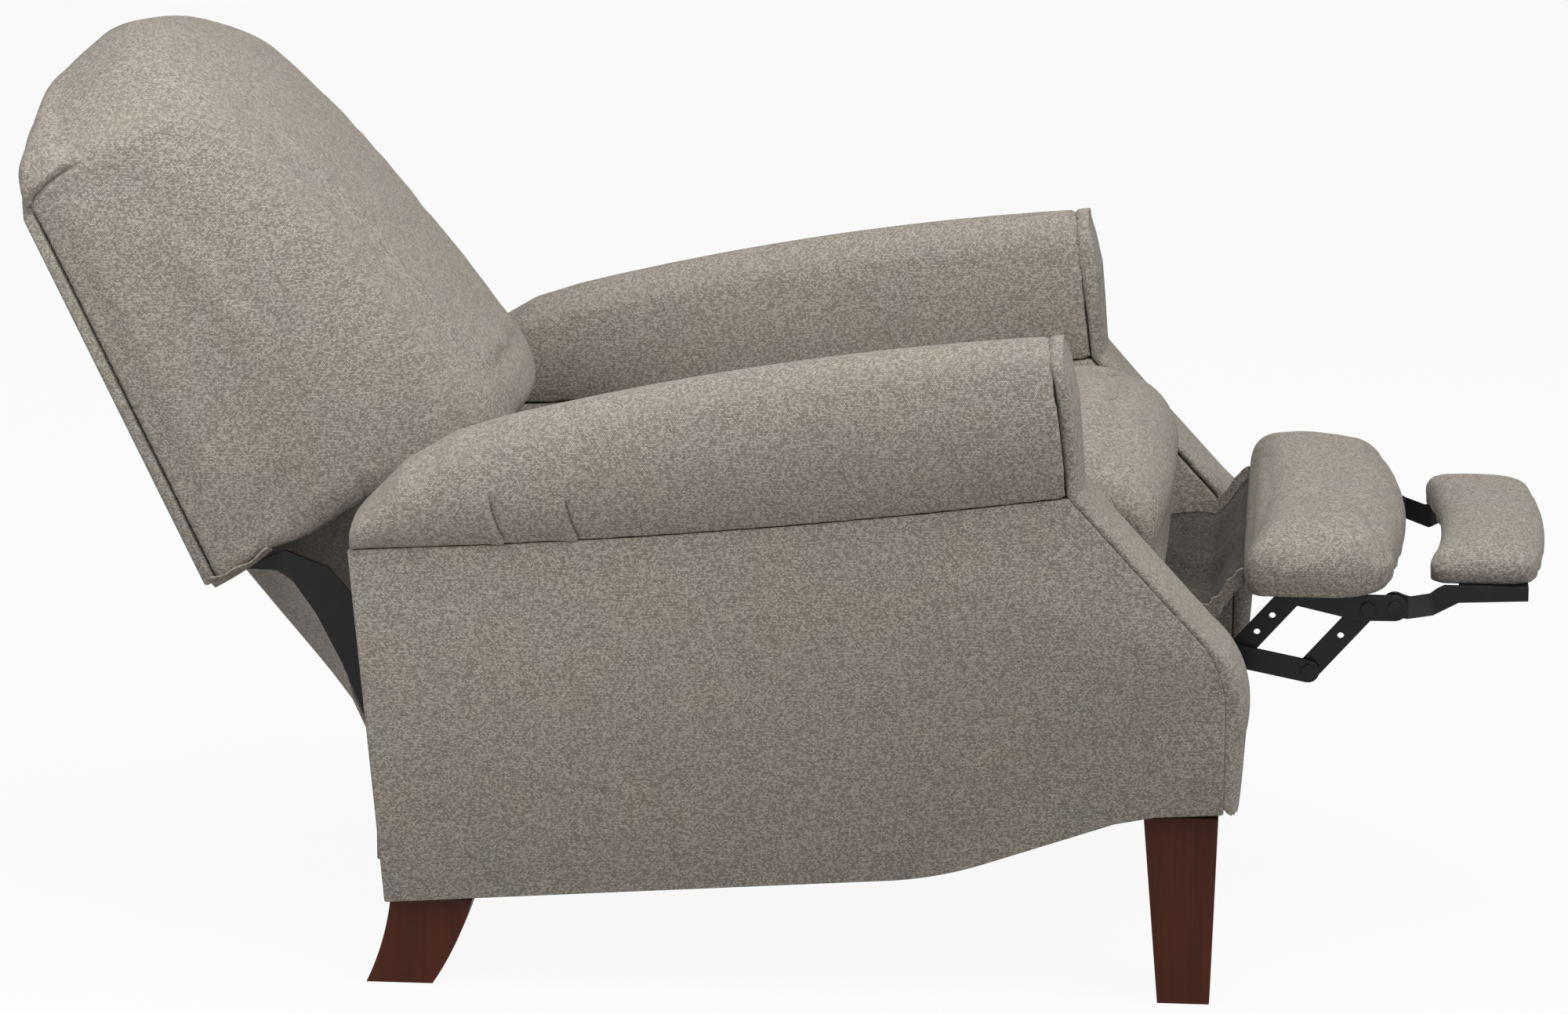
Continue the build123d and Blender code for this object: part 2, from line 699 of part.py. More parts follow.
# Seat brackets, frame, springs and cushion
two_layer = ((pin_r, link2_in - head_gap, link1_out + head_gap),
             (head_r, link2_in - head_gap - head_t, link2_in - head_gap),
             (head_r, link1_out + head_gap, link1_out + head_gap + head_t))
bracket_end = 30.0
lobe_half = 26.0
with BuildPart() as seat_brackets:
    for side in (-1, 1):
        with BuildSketch(layer(side, link2_in, link2_out)):
            web_low = seat_lip_z - 4
            web_top = seat_frame_top - 2
            web_front = front_seat_pivot[0] - bracket_end
            web_rear = rear_seat_pivot[0] + bracket_end
            with BuildLine():
                Polyline((web_front, web_low), (web_front, web_top), (web_rear, web_top), (web_rear, web_low),
                         close=True)
            make_face()
            for y, z in (front_seat_pivot, rear_seat_pivot):
                with BuildLine():
                    Polyline((y - lobe_half, web_low), (y + lobe_half, web_low), (y + swing_r, z),
                             (y - swing_r, z), close=True)
                make_face()
            with Locations(front_seat_pivot, rear_seat_pivot):
                Circle(swing_r)
            with Locations(front_seat_pivot, rear_seat_pivot):
                Circle(hole_r, mode=Mode.SUBTRACT)
        extrude(amount=link_t)
save(seat_brackets, "seat_brackets")
pins("seat_pivot_pins", (front_seat_pivot, rear_seat_pivot), two_layer)

seat_frame_h = seat_frame_top - seat_lip_z
seat_inner_front = seat_frame_front + seat_rail_t_front
seat_inner_rear = seat_frame_rear - seat_rail_t_front
with BuildPart() as seat_frame:
    with BuildSketch(Plane.XY.offset(seat_lip_z)):
        for y in (seat_frame_front + seat_rail_t_front / 2, seat_frame_rear - seat_rail_t_front / 2):
            with Locations((0, y)):
                Rectangle(2 * link2_in, seat_rail_t_front)
        for side in (-1, 1):
            with Locations((side * (link2_in - seat_rail_t / 2), (seat_inner_front + seat_inner_rear) / 2)):
                Rectangle(seat_rail_t, seat_inner_rear - seat_inner_front - 2 * running_gap)
    extrude(amount=seat_frame_h)
save(seat_frame, "seat_frame")


def spring_face(plane, middle, low, high, swing, turns):
    """A flat zigzag spring along the sketch's second axis."""
    step = (high - low) / turns
    points = [(middle + (swing if k % 2 else -swing), low + k * step) for k in range(turns + 1)]
    return bar_face(plane, points, wire_t / 2)


spring_end = 8.0
spring_swing = 20.0
with BuildPart() as seat_springs:
    for k in range(5):
        x = (k - 2) * seat_rail_in / 3
        extrude(spring_face(Plane.XY.offset(seat_frame_top), x, seat_frame_front + spring_end,
                            seat_frame_rear - spring_end, spring_swing, 12), amount=wire_t)
save(seat_springs, "seat_springs")

seat_round = 40.0
with BuildPart() as seat_cushion:
    for share, drop, pull in ((-1.0, 30, 13), (-0.94, 15, 6), (-0.8, 7, 2), (-0.4, 2, 0), (0, 0, 0), (0.4, 2, 0),
                              (0.8, 7, 2), (0.94, 15, 6), (1.0, 30, 13)):
        top = seat_top - drop
        rear_top = top - seat_rear_drop
        front = seat_front + pull
        with BuildSketch(Plane.YZ.offset(share * seat_half)):
            with BuildLine():
                lip_in = seat_frame_front - soft_gap
                Line((seat_rear, seat_bottom), (seat_rear, rear_top - seat_round))
                ThreePointArc((seat_rear, rear_top - seat_round),
                              (seat_rear - 0.3 * seat_round, rear_top - 0.3 * seat_round),
                              (seat_rear - seat_round, rear_top))
                crown = ((seat_front + seat_rear) / 2, (top + rear_top) / 2 + 4)
                ThreePointArc((seat_rear - seat_round, rear_top), crown, (front + seat_nose, top))
                nose = (front + 0.26 * seat_nose, top - 0.29 * seat_nose_drop)
                ThreePointArc((front + seat_nose, top), nose, (front, top - seat_nose_drop))
                lip = (front + 4, seat_lip_z + 16)
                ThreePointArc((front, top - seat_nose_drop), (front - 1, seat_lip_z + 45), lip)
                ThreePointArc(lip, (front + 8, seat_lip_z + 5), (front + seat_lip_in, seat_lip_z))
                Polyline((front + seat_lip_in, seat_lip_z), (lip_in, seat_lip_z), (lip_in, seat_bottom),
                         (seat_rear, seat_bottom))
            make_face()
    loft()
save(seat_cushion, "seat_cushion")

# The back, in its own axes
tilt = radians(back_tilt)
back_up = (0, sin(tilt), cos(tilt))
back_forward = (0, -cos(tilt), sin(tilt))


def back_at(u, v):
    """Y and Z of a point of the back."""
    return (back_foot_y + u * sin(tilt) - v * cos(tilt), back_foot_z + u * cos(tilt) + v * sin(tilt))


def back_front(v):
    """Sketch plane along the back, looking forward: x and u."""
    y, z = back_at(0, v)
    return Plane(origin=(0, y, z), x_dir=(1, 0, 0), z_dir=back_forward)


def back_level(u):
    """Sketch plane across the back at one height: x and minus v."""
    y, z = back_at(u, 0)
    return Plane(origin=(0, y, z), x_dir=(1, 0, 0), z_dir=back_up)


def back_section(u, half, rear, flank, crown):
    """One level of the cushion: flat rear, straight flanks, large round corners, gently crowned front."""
    turn = crown - back_crown
    side_turn = flank + 0.55 * (turn - flank)
    with BuildSketch(back_level(u)) as face:
        with BuildLine():
            Polyline((-half, -flank), (-half, -rear), (half, -rear), (half, -flank))
            ThreePointArc((half, -flank), (0.94 * half, -side_turn), (0.66 * half, -turn))
            ThreePointArc((0.66 * half, -turn), (0, -crown), (-0.66 * half, -turn))
            ThreePointArc((-0.66 * half, -turn), (-0.94 * half, -side_turn), (-half, -flank))
        make_face()
    return face.sketch


cushion_rear_v = back_panel_t + soft_gap
panel_half = back_half - back_panel_inset
panel_shoulder = back_shoulder_u - panel_drop
with BuildPart() as outside_back_panel:
    with BuildSketch(back_front(0)):
        with BuildLine():
            shoulders = ((-panel_half, panel_shoulder), (panel_half, panel_shoulder))
            Polyline(shoulders[0], (-panel_half, 0), (panel_half, 0), shoulders[1])
            ThreePointArc(shoulders[1], (0, panel_top_u), shoulders[0])
        make_face()
    extrude(amount=back_panel_t)
save(outside_back_panel, "outside_back_panel")

# Levels of the cushion as shares: height, half width, depth of the flank and of the crown
back_levels = ((-0.02, 0.98, 0.35, 0.94), (0.145, 1.0, 0.383, 1.0), (0.315, 1.0, 0.39, 0.987),
               (0.485, 1.0, 0.383, 0.951), (0.655, 1.0, 0.37, 0.896), (0.825, 1.0, 0.344, 0.825),
               (1.0, 1.0, 0.299, 0.734))
# Levels of the arch above the shoulders: height, half width, rear, flank and crown
arch_levels = ((0.275, 0.96, 0.01, 0.279, 0.682), (0.49, 0.84, 0.045, 0.26, 0.63),
               (0.715, 0.62, 0.085, 0.25, 0.575), (0.89, 0.38, 0.15, 0.27, 0.5),
               (1.0, 0.16, 0.26, 0.33, 0.41))
# Underside of the cushion: height and depth as shares of its whole depth
back_underside = ((-0.1, 0), (-0.0195, 0), (0.078, 0.568), (-0.0065, 1.006), (-0.1, 1.006))
pocket_half = link1_out + 0.7
with BuildPart() as back_cushion:
    levels = [back_section(back_shoulder_u * up, back_half * wide, cushion_rear_v, back_depth * flank,
                           back_depth * crown) for up, wide, flank, crown in back_levels]
    loft(levels)
    rise = back_top_u - back_shoulder_u
    arch = [back_section(back_shoulder_u + rise * up, back_half * wide, cushion_rear_v + back_depth * rear,
                         back_depth * flank, back_depth * crown)
            for up, wide, rear, flank, crown in arch_levels]
    loft([levels[-1]] + arch)
    beside = (-2 * back_half, back_foot_y, back_foot_z)
    with BuildSketch(Plane(origin=beside, x_dir=back_up, z_dir=(1, 0, 0))):
        with BuildLine():
            Polyline(*[(back_depth * up, back_depth * deep) for up, deep in back_underside], close=True)
        make_face()
    extrude(amount=4 * back_half, mode=Mode.SUBTRACT)
    with BuildSketch(back_front(-back_panel_t)):
        Rectangle(4 * back_half, 4 * back_top_u)
    extrude(amount=back_panel_t + cushion_rear_v, mode=Mode.SUBTRACT)
    with BuildSketch(back_front(0)):
        with Locations((0, back_pocket_u / 2 - 20)):
            Rectangle(2 * pocket_half, back_pocket_u + 40)
    extrude(amount=back_frame_v + soft_gap, mode=Mode.SUBTRACT)
save(back_cushion, "back_cushion")

stile_in = link1_in - stile_w
frame_top_u = back_pocket_u - 2
frame_depth = back_frame_v - cushion_rear_v
rail_depth = frame_depth - wire_t
with BuildPart() as back_frame:
    with BuildSketch(back_front(cushion_rear_v)):
        for side in (-1, 1):
            with Locations((side * (link1_in + stile_in) / 2, (frame_low_u + frame_top_u) / 2)):
                Rectangle(stile_w, frame_top_u - frame_low_u)
    extrude(amount=frame_depth)
    with BuildSketch(back_front(cushion_rear_v)):
        mid_u = (frame_low_u + frame_top_u) / 2
        for u in (frame_low_u + back_rail_h / 2, mid_u, frame_top_u - back_rail_h / 2):
            with Locations((0, u)):
                Rectangle(2 * (stile_in - running_gap), back_rail_h)
    extrude(amount=rail_depth)
save(back_frame, "back_frame")

with BuildPart() as back_springs:
    for k in range(4):
        x = (k - 1.5) * stile_in / 2.2
        extrude(spring_face(back_front(cushion_rear_v + rail_depth), x, frame_low_u + spring_end,
                            frame_top_u - spring_end, spring_swing, 10), amount=wire_t - running_gap)
save(back_springs, "back_springs")

# The brackets' bent arms, as shares of the way from the hinge to the foot of the back
reach_y = back_foot_y - hinge_y
reach_z = back_foot_z - hinge_z
bracket_upper = ((0.29, 0.79), (0.52, 1.08), (0.69, 1.15))
bracket_lower = ((0.69, 1.06), (0.57, 0.87), (0.47, 0.65), (0.39, 0.435))
for side, word in ((-1, "right"), (1, "left")):
    with BuildPart() as back_bracket:
        with BuildSketch(layer(side, link1_in, link1_out)):
            with BuildLine():
                upper = [(hinge_y + reach_y * a, hinge_z + reach_z * b) for a, b in bracket_upper]
                lower = [(hinge_y + reach_y * a, hinge_z + reach_z * b) for a, b in bracket_lower]
                inner_v = back_frame_v - bracket_edge
                outer_v = cushion_rear_v + bracket_edge
                Polyline((hinge_y - hinge_lobe, hinge_z + hinge_rise),
                         (back_link_rear[0] - stud_lobe, back_link_rear[1]),
                         (back_link_rear[0] - stud_side, back_link_rear[1] + stud_lobe), *upper,
                         back_at(0, inner_v),
                         back_at(bracket_reach, inner_v), back_at(bracket_reach, outer_v),
                         back_at(2 * bracket_edge, outer_v), back_at(0, 0.7 * back_frame_v), *lower,
                         (hinge_y + hinge_lobe, hinge_z - hinge_fall), close=True)
            make_face()
            with Locations(hinge):
                Circle(hinge_r)
            with Locations(back_link_rear):
                Circle(hinge_r - 4)
            with Locations(hinge):
                Circle(hole_r, mode=Mode.SUBTRACT)
        extrude(amount=link_t)
        stud_in = link3_in - head_gap
        with BuildSketch(layer(side, stud_in, link1_in)):
            with Locations(back_link_rear):
                Circle(pin_r)
        extrude(amount=link1_in - stud_in)
        with BuildSketch(layer(side, stud_in - head_t, stud_in)):
            with Locations(back_link_rear):
                Circle(head_r)
        extrude(amount=head_t)
    save(back_bracket, "back_bracket_" + word)

# Links between seat swing and back, and between seat swing and footrest; the far end of each has a slot
with BuildPart() as back_links:
    for side in (-1, 1):
        extrude(bar_face(layer(side, link3_in, link3_out), (back_link_front, back_link_rear), drive_w / 2 + 3,
                         (back_link_front,)), amount=link_t)
        with BuildSketch(layer(side, link3_in, link3_out)):
            with Locations((back_link_rear[0], back_link_rear[1] - back_link_rise / 2)):
                SlotCenterToCenter(back_link_rise, 2 * (pin_r + slot_play), rotation=90)
        extrude(amount=link_t, mode=Mode.SUBTRACT)
save(back_links, "back_links")

with BuildPart() as drive_links:
    for side in (-1, 1):
        extrude(bar_face(layer(side, link3_in, link3_out), (drive_top, drive_low), drive_w / 2 + 3,
                         (drive_top,)), amount=link_t)
        with BuildSketch(layer(side, link3_in, link3_out)):
            with Locations((drive_low[0], drive_low[1] + drive_rise / 2)):
                SlotCenterToCenter(drive_rise, 2 * (pin_r + slot_play), rotation=90)
        extrude(amount=link_t, mode=Mode.SUBTRACT)
save(drive_links, "drive_links")

# Footrest links
for side, word in ((-1, "right"), (1, "left")):
    with BuildPart() as long_link:
        extrude(bar_face(layer(side, link1_in, link1_out), (drive_top, long_pivot, rear_lift_low, front_lift_low),
                         link_r, (drive_top, long_pivot, rear_lift_low, front_lift_low)), amount=link_t)
    save(long_link, "long_link_" + word)

with BuildPart() as long_link_pins:
    for side in (-1, 1):
        for radius, inner, outer in two_layer:
            with BuildSketch(layer(side, inner, outer)):
                with Locations(rear_lift_low, front_lift_low):
                    Circle(radius)
            extrude(amount=outer - inner)
        stud_in = link3_in - head_gap
        for radius, inner, outer in ((pin_r, stud_in, link1_out), (head_r, stud_in - head_t, stud_in)):
            with BuildSketch(layer(side, inner, outer)):
                with Locations(drive_top):
                    Circle(radius)
            extrude(amount=outer - inner)
save(long_link_pins, "long_link_pins")

with BuildPart() as control_links:
    for side in (-1, 1):
        extrude(bar_face(layer(side, link1_in, link1_out), (control_pivot, control_end), control_r,
                         (control_pivot, control_end)), amount=link_t)
save(control_links, "control_links")
pins("control_pins", (control_end,), two_layer)

trim_hole_r = 3.2
with BuildPart() as rear_lift_links:
    for side in (-1, 1):
        trim = [(rear_lift_low[0] + s * lift_dy, rear_lift_low[1] + s * lift_dz) for s in (0.36, 0.62)]
        extrude(bar_face(layer(side, link2_in, link2_out), (control_end, rear_lift_top), link_r,
                         (control_end, rear_lift_low, rear_lift_top)), amount=link_t)
        with BuildSketch(layer(side, link2_in, link2_out)):
            with Locations(*trim):
                Circle(trim_hole_r)
        extrude(amount=link_t, mode=Mode.SUBTRACT)
save(rear_lift_links, "rear_lift_links")

with BuildPart() as front_lift_links:
    for side in (-1, 1):
        trim = (front_lift_low[0] + 0.55 * lift_dy, front_lift_low[1] + 0.55 * lift_dz)
        extrude(bar_face(layer(side, link2_in, link2_out), (front_lift_low, front_lift_top), link_r,
                         (front_lift_low, front_lift_top)), amount=link_t)
        with BuildSketch(layer(side, link2_in, link2_out)):
            with Locations(trim):
                Circle(trim_hole_r)
        extrude(amount=link_t, mode=Mode.SUBTRACT)
save(front_lift_links, "front_lift_links")


def pad_outline(level, inset):
    """Plan of the footrest pad: straight rear, convex front, large front corners."""
    half = seat_half - inset
    rear = pad_rear - inset
    front = pad_front + inset
    with BuildSketch(Plane.XY.offset(level)) as outline:
        with BuildLine():
            Polyline((half, front + pad_bow), (half, rear), (-half, rear), (-half, front + pad_bow))
            ThreePointArc((-half, front + pad_bow), (0, front), (half, front + pad_bow))
        make_face()
        corners = outline.vertices().sort_by(Axis.Y)
        side_length = rear - front - pad_bow
        fillet(corners[:2], min(pad_front_round - 0.6 * inset, 0.8 * side_length))
        corners = outline.vertices().sort_by(Axis.Y)
        fillet(corners[-2:], pad_rear_round - 0.25 * inset)
    return outline.sketch


def ext_outline(level, inset):
    """Plan of the extension pad: hollow rear, convex front."""
    half = ext_half - inset
    rear = ext_rear - inset
    front = ext_front + inset
    with BuildSketch(Plane.XY.offset(level)) as outline:
        with BuildLine():
            Line((half, front + ext_bow), (half, rear))
            ThreePointArc((half, rear), (0, rear - ext_hollow), (-half, rear))
            Line((-half, rear), (-half, front + ext_bow))
            ThreePointArc((-half, front + ext_bow), (0, front), (half, front + ext_bow))
        make_face()
        corners = outline.vertices().sort_by(Axis.Y)
        fillet(corners[:2], ext_front_round - 0.4 * inset)
        corners = outline.vertices().sort_by(Axis.Y)
        fillet(corners[-2:], ext_rear_round - 0.25 * inset)
    return outline.sketch


# Footrest pad, board and brackets
pad_pocket_top = pad_board_z + pad_board_t + soft_gap
with BuildPart() as footrest_pad:
    loft([pad_outline(pad_low + pad_height * level, inset) for level, inset in pad_levels])
    extrude(pad_outline(pad_low, pad_rim), amount=pad_pocket_top - pad_low, mode=Mode.SUBTRACT)
save(footrest_pad, "footrest_pad")

with BuildPart() as footrest_board:
    extrude(pad_outline(pad_board_z, pad_rim + soft_gap), amount=pad_board_t)
save(footrest_board, "footrest_board")

bracket_rear = rear_lift_top[0] + 15
bracket_front = rear_lift_top[0] - 34
flange_z = pad_board_z - flange_t
with BuildPart() as footrest_brackets:
    for side in (-1, 1):
        with BuildSketch(layer(side, link1_in, link1_out)):
            with BuildLine():
                Polyline((bracket_rear, pad_board_z), (bracket_rear - 2, rear_lift_top[1] - 9),
                         (front_lift_top[0] + 8, front_lift_top[1] - 12), (flip_y, flip_z - flip_r),
                         (flip_y, flip_z + flip_r), (bracket_front, pad_low - layer_gap / 2),
                         (bracket_front, pad_board_z), close=True)
            make_face()
            with Locations(flip_pivot):
                Circle(flip_r)
            with Locations(rear_lift_top, front_lift_top, flip_pivot):
                Circle(hole_r, mode=Mode.SUBTRACT)
        extrude(amount=link_t)
        with BuildSketch(layer(side, link1_out - flange_w, link1_out)):
            with BuildLine():
                Polyline((bracket_rear, flange_z), (bracket_rear, pad_board_z), (bracket_front, pad_board_z),
                         (bracket_front, flange_z), close=True)
            make_face()
        extrude(amount=flange_w)
save(footrest_brackets, "footrest_brackets")
with BuildPart() as footrest_pins:
    for side in (-1, 1):
        for radius, inner, outer in two_layer:
            with BuildSketch(layer(side, inner, outer)):
                with Locations(rear_lift_top, front_lift_top):
                    Circle(radius)
            extrude(amount=outer - inner)
        stud_in = link3_in - head_gap
        for radius, inner, outer in ((pin_r, stud_in, link1_out + head_gap), (head_r, stud_in - head_t, stud_in),
                                     (collar_r, link3_out + head_gap, link1_in - head_gap),
                                     (head_r, link1_out + head_gap, link1_out + head_gap + head_t)):
            with BuildSketch(layer(side, inner, outer)):
                with Locations(flip_pivot):
                    Circle(radius)
            extrude(amount=outer - inner)
save(footrest_pins, "footrest_pins")

# Extension pad, board and joggled brackets
with BuildPart() as extension_pad:
    loft([ext_outline(pad_low + ext_height * level, inset) for level, inset in ext_levels])
    extrude(ext_outline(pad_low, pad_rim), amount=ext_board_t + soft_gap, mode=Mode.SUBTRACT)
save(extension_pad, "extension_pad")

with BuildPart() as extension_board:
    extrude(ext_outline(pad_low, pad_rim + soft_gap), amount=ext_board_t)
save(extension_board, "extension_board")

ext_web_top = pad_low - running_gap
ext_web_end = ext_front + 24
with BuildPart() as extension_brackets:
    for side in (-1, 1):
        with BuildSketch(Plane.XY.offset(flip_z - ext_height)):
            with BuildLine():
                Polyline((side * link3_out, flip_y + 20), (side * link3_out, ext_joggle_y),
                         (side * (ext_bracket_x + link_t), ext_joggle_y - ext_joggle_run),
                         (side * (ext_bracket_x + link_t), ext_web_end), (side * ext_bracket_x, ext_web_end),
                         (side * ext_bracket_x, ext_joggle_y - ext_joggle_run - 2),
                         (side * link3_in, ext_joggle_y - 2), (side * link3_in, flip_y + 20), close=True)
            make_face()
        extrude(amount=2 * ext_height)
    with BuildSketch(Plane.YZ.offset(-chair_width / 2)):
        with BuildLine():
            Polyline((flip_y, flip_z + flip_r), (ext_joggle_y - 2, flip_z + 8), (ext_rear - 8, flip_z + 6),
                     (ext_rear - 22, ext_web_top), (ext_web_end, ext_web_top),
                     (ext_web_end, ext_web_top - ext_bracket_h),
                     (ext_rear - 36, ext_web_top - ext_bracket_h - 3), (ext_rear - 12, flip_z - 17),
                     (flip_y, flip_z - flip_r),
                     close=True)
        make_face()
        with Locations(flip_pivot):
            Circle(flip_r)
        with Locations(flip_pivot):
            Circle(hole_r, mode=Mode.SUBTRACT)
    extrude(amount=chair_width, mode=Mode.INTERSECT)
    for side in (-1, 1):
        with BuildSketch(layer(side, ext_bracket_x - flange_w, ext_bracket_x + link_t)):
            with BuildLine():
                Polyline((ext_rear - 36, ext_web_top - flange_t), (ext_rear - 36, ext_web_top),
                         (ext_web_end, ext_web_top), (ext_web_end, ext_web_top - flange_t), close=True)
            make_face()
        extrude(amount=flange_w + link_t)
save(extension_brackets, "extension_brackets")

# Gathered cloth between seat and footrest, hanging in shallow folds
gusset_half = link1_in - 2
gusset_seat_y = seat_frame_front - 24
gusset_pad_y = pad_rear + 2.2
gusset_sag = 20.0
fold_depth = 5.0
gusset_sections = 17
with BuildPart() as front_gusset:
    for k in range(gusset_sections):
        sag = gusset_sag + fold_depth * cos(2 * pi * k / 4)
        low_y = (gusset_seat_y + gusset_pad_y) / 2
        low_z = seat_lip_z - sag
        seat_z = seat_lip_z - soft_gap
        pad_z = pad_board_z + 2
        with BuildSketch(Plane.YZ.offset((2 * k / (gusset_sections - 1) - 1) * gusset_half)):
            with BuildLine():
                ThreePointArc((gusset_seat_y, seat_z), (gusset_seat_y - 14, low_z + 6), (low_y, low_z))
                ThreePointArc((low_y, low_z), (gusset_pad_y + 12, low_z + 16), (gusset_pad_y, pad_z))
                Line((gusset_pad_y, pad_z), (gusset_pad_y + cloth_t, pad_z))
                ThreePointArc((gusset_pad_y + cloth_t, pad_z),
                              (gusset_pad_y + 12 + cloth_t, low_z + 16 + cloth_t), (low_y, low_z + cloth_t))
                ThreePointArc((low_y, low_z + cloth_t), (gusset_seat_y - 14 - cloth_t, low_z + 6 + cloth_t),
                              (gusset_seat_y - cloth_t, seat_z))
                Line((gusset_seat_y - cloth_t, seat_z), (gusset_seat_y, seat_z))
            make_face()
    loft(ruled=True)
save(front_gusset, "front_gusset")

# Cloth flap from the foot of the back to the base; its side edges are drawn in, its middle hangs straight
flap_half = link1_in - 3
flap_y = rear_panel_y + rear_panel_t + soft_gap
flap_foot_z = rear_panel_top - flap_overlap
with BuildPart() as rear_flap:
    for share, pull in ((-1.0, 1.0), (-0.8, 0.6), (-0.5, 0.1), (0, 0.0), (0.5, 0.1), (0.8, 0.6), (1.0, 1.0)):
        v = flap_top_v + flap_pull_v * pull
        top = back_at(frame_low_u - soft_gap, v)
        top_in = back_at(frame_low_u - soft_gap, v + cloth_t)
        bend = (flap_knee_y - flap_edge_in * pull, flap_knee_z + flap_edge_up * pull)
        mid = ((top[0] + bend[0]) / 2 - flap_bow * pull / 2, (top[1] + bend[1]) / 2 + flap_bow * pull - 1)
        with BuildSketch(Plane.YZ.offset(share * flap_half)):
            with BuildLine():
                ThreePointArc(top, mid, bend)
                turn_z = rear_panel_top + flap_turn
                Polyline(bend, (flap_y + cloth_t, turn_z), (flap_y + cloth_t, flap_foot_z),
                         (flap_y, flap_foot_z), (flap_y, turn_z), (bend[0] - 2, bend[1] + 1.4))
                ThreePointArc((bend[0] - 2, bend[1] + 1.4), (mid[0] - 1.6, mid[1] + 1.8), top_in)
                Line(top_in, top)
            make_face()
    loft()
save(rear_flap, "rear_flap")
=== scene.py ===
import bpy
import bmesh
from math import cos, exp, pi, radians, sin
import numpy as np
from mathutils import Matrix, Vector
from mathutils.kdtree import KDTree


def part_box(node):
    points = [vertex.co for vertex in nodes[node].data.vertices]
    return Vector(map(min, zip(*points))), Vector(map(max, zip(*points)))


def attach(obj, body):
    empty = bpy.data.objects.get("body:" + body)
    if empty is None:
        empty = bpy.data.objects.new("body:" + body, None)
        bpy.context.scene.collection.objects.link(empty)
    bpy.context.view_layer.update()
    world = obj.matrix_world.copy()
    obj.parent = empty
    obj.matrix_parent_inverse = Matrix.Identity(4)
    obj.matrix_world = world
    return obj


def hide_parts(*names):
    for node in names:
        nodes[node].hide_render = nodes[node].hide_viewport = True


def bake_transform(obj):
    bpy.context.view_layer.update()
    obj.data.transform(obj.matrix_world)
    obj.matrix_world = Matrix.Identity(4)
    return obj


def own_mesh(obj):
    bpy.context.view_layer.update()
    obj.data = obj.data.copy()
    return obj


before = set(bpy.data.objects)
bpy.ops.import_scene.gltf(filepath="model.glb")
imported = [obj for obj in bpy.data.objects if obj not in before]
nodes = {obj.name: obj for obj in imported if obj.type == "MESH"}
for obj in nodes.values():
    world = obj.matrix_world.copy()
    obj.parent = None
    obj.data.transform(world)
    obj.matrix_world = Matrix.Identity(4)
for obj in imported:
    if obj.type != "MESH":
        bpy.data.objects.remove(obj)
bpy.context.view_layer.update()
scene = bpy.context.scene
scene.view_settings.view_transform = "Standard"
MM = 0.001


# Shader maths

class Value:
    """A shader value; arithmetic on it adds Math nodes to its finish."""

    def __init__(self, finish, socket):
        self.finish = finish
        self.socket = socket

    def math(self, operation, *others):
        return self.finish.add("Math", {"operation": operation}, dict(enumerate((self, *others))))

    def __add__(self, other):
        return self.math("ADD", other)

    def __sub__(self, other):
        return self.math("SUBTRACT", other)

    def __rsub__(self, other):
        return self.finish.add("Math", {"operation": "SUBTRACT"}, {0: other, 1: self})

    def __mul__(self, other):
        return self.math("MULTIPLY", other)

    def __rmul__(self, other):
        return self.math("MULTIPLY", other)

    def __truediv__(self, other):
        return self.math("DIVIDE", other)

    def __pow__(self, other):
        return self.math("POWER", other)

    def __abs__(self):
        return self.math("ABSOLUTE")

    def floor(self):
        return self.math("FLOOR")

    def odd(self):
        return self.math("FLOORED_MODULO", 2.0)

    def held(self):
        """The value kept between 0 and 1."""
        return self.finish.add("Clamp", {}, {"Value": self})


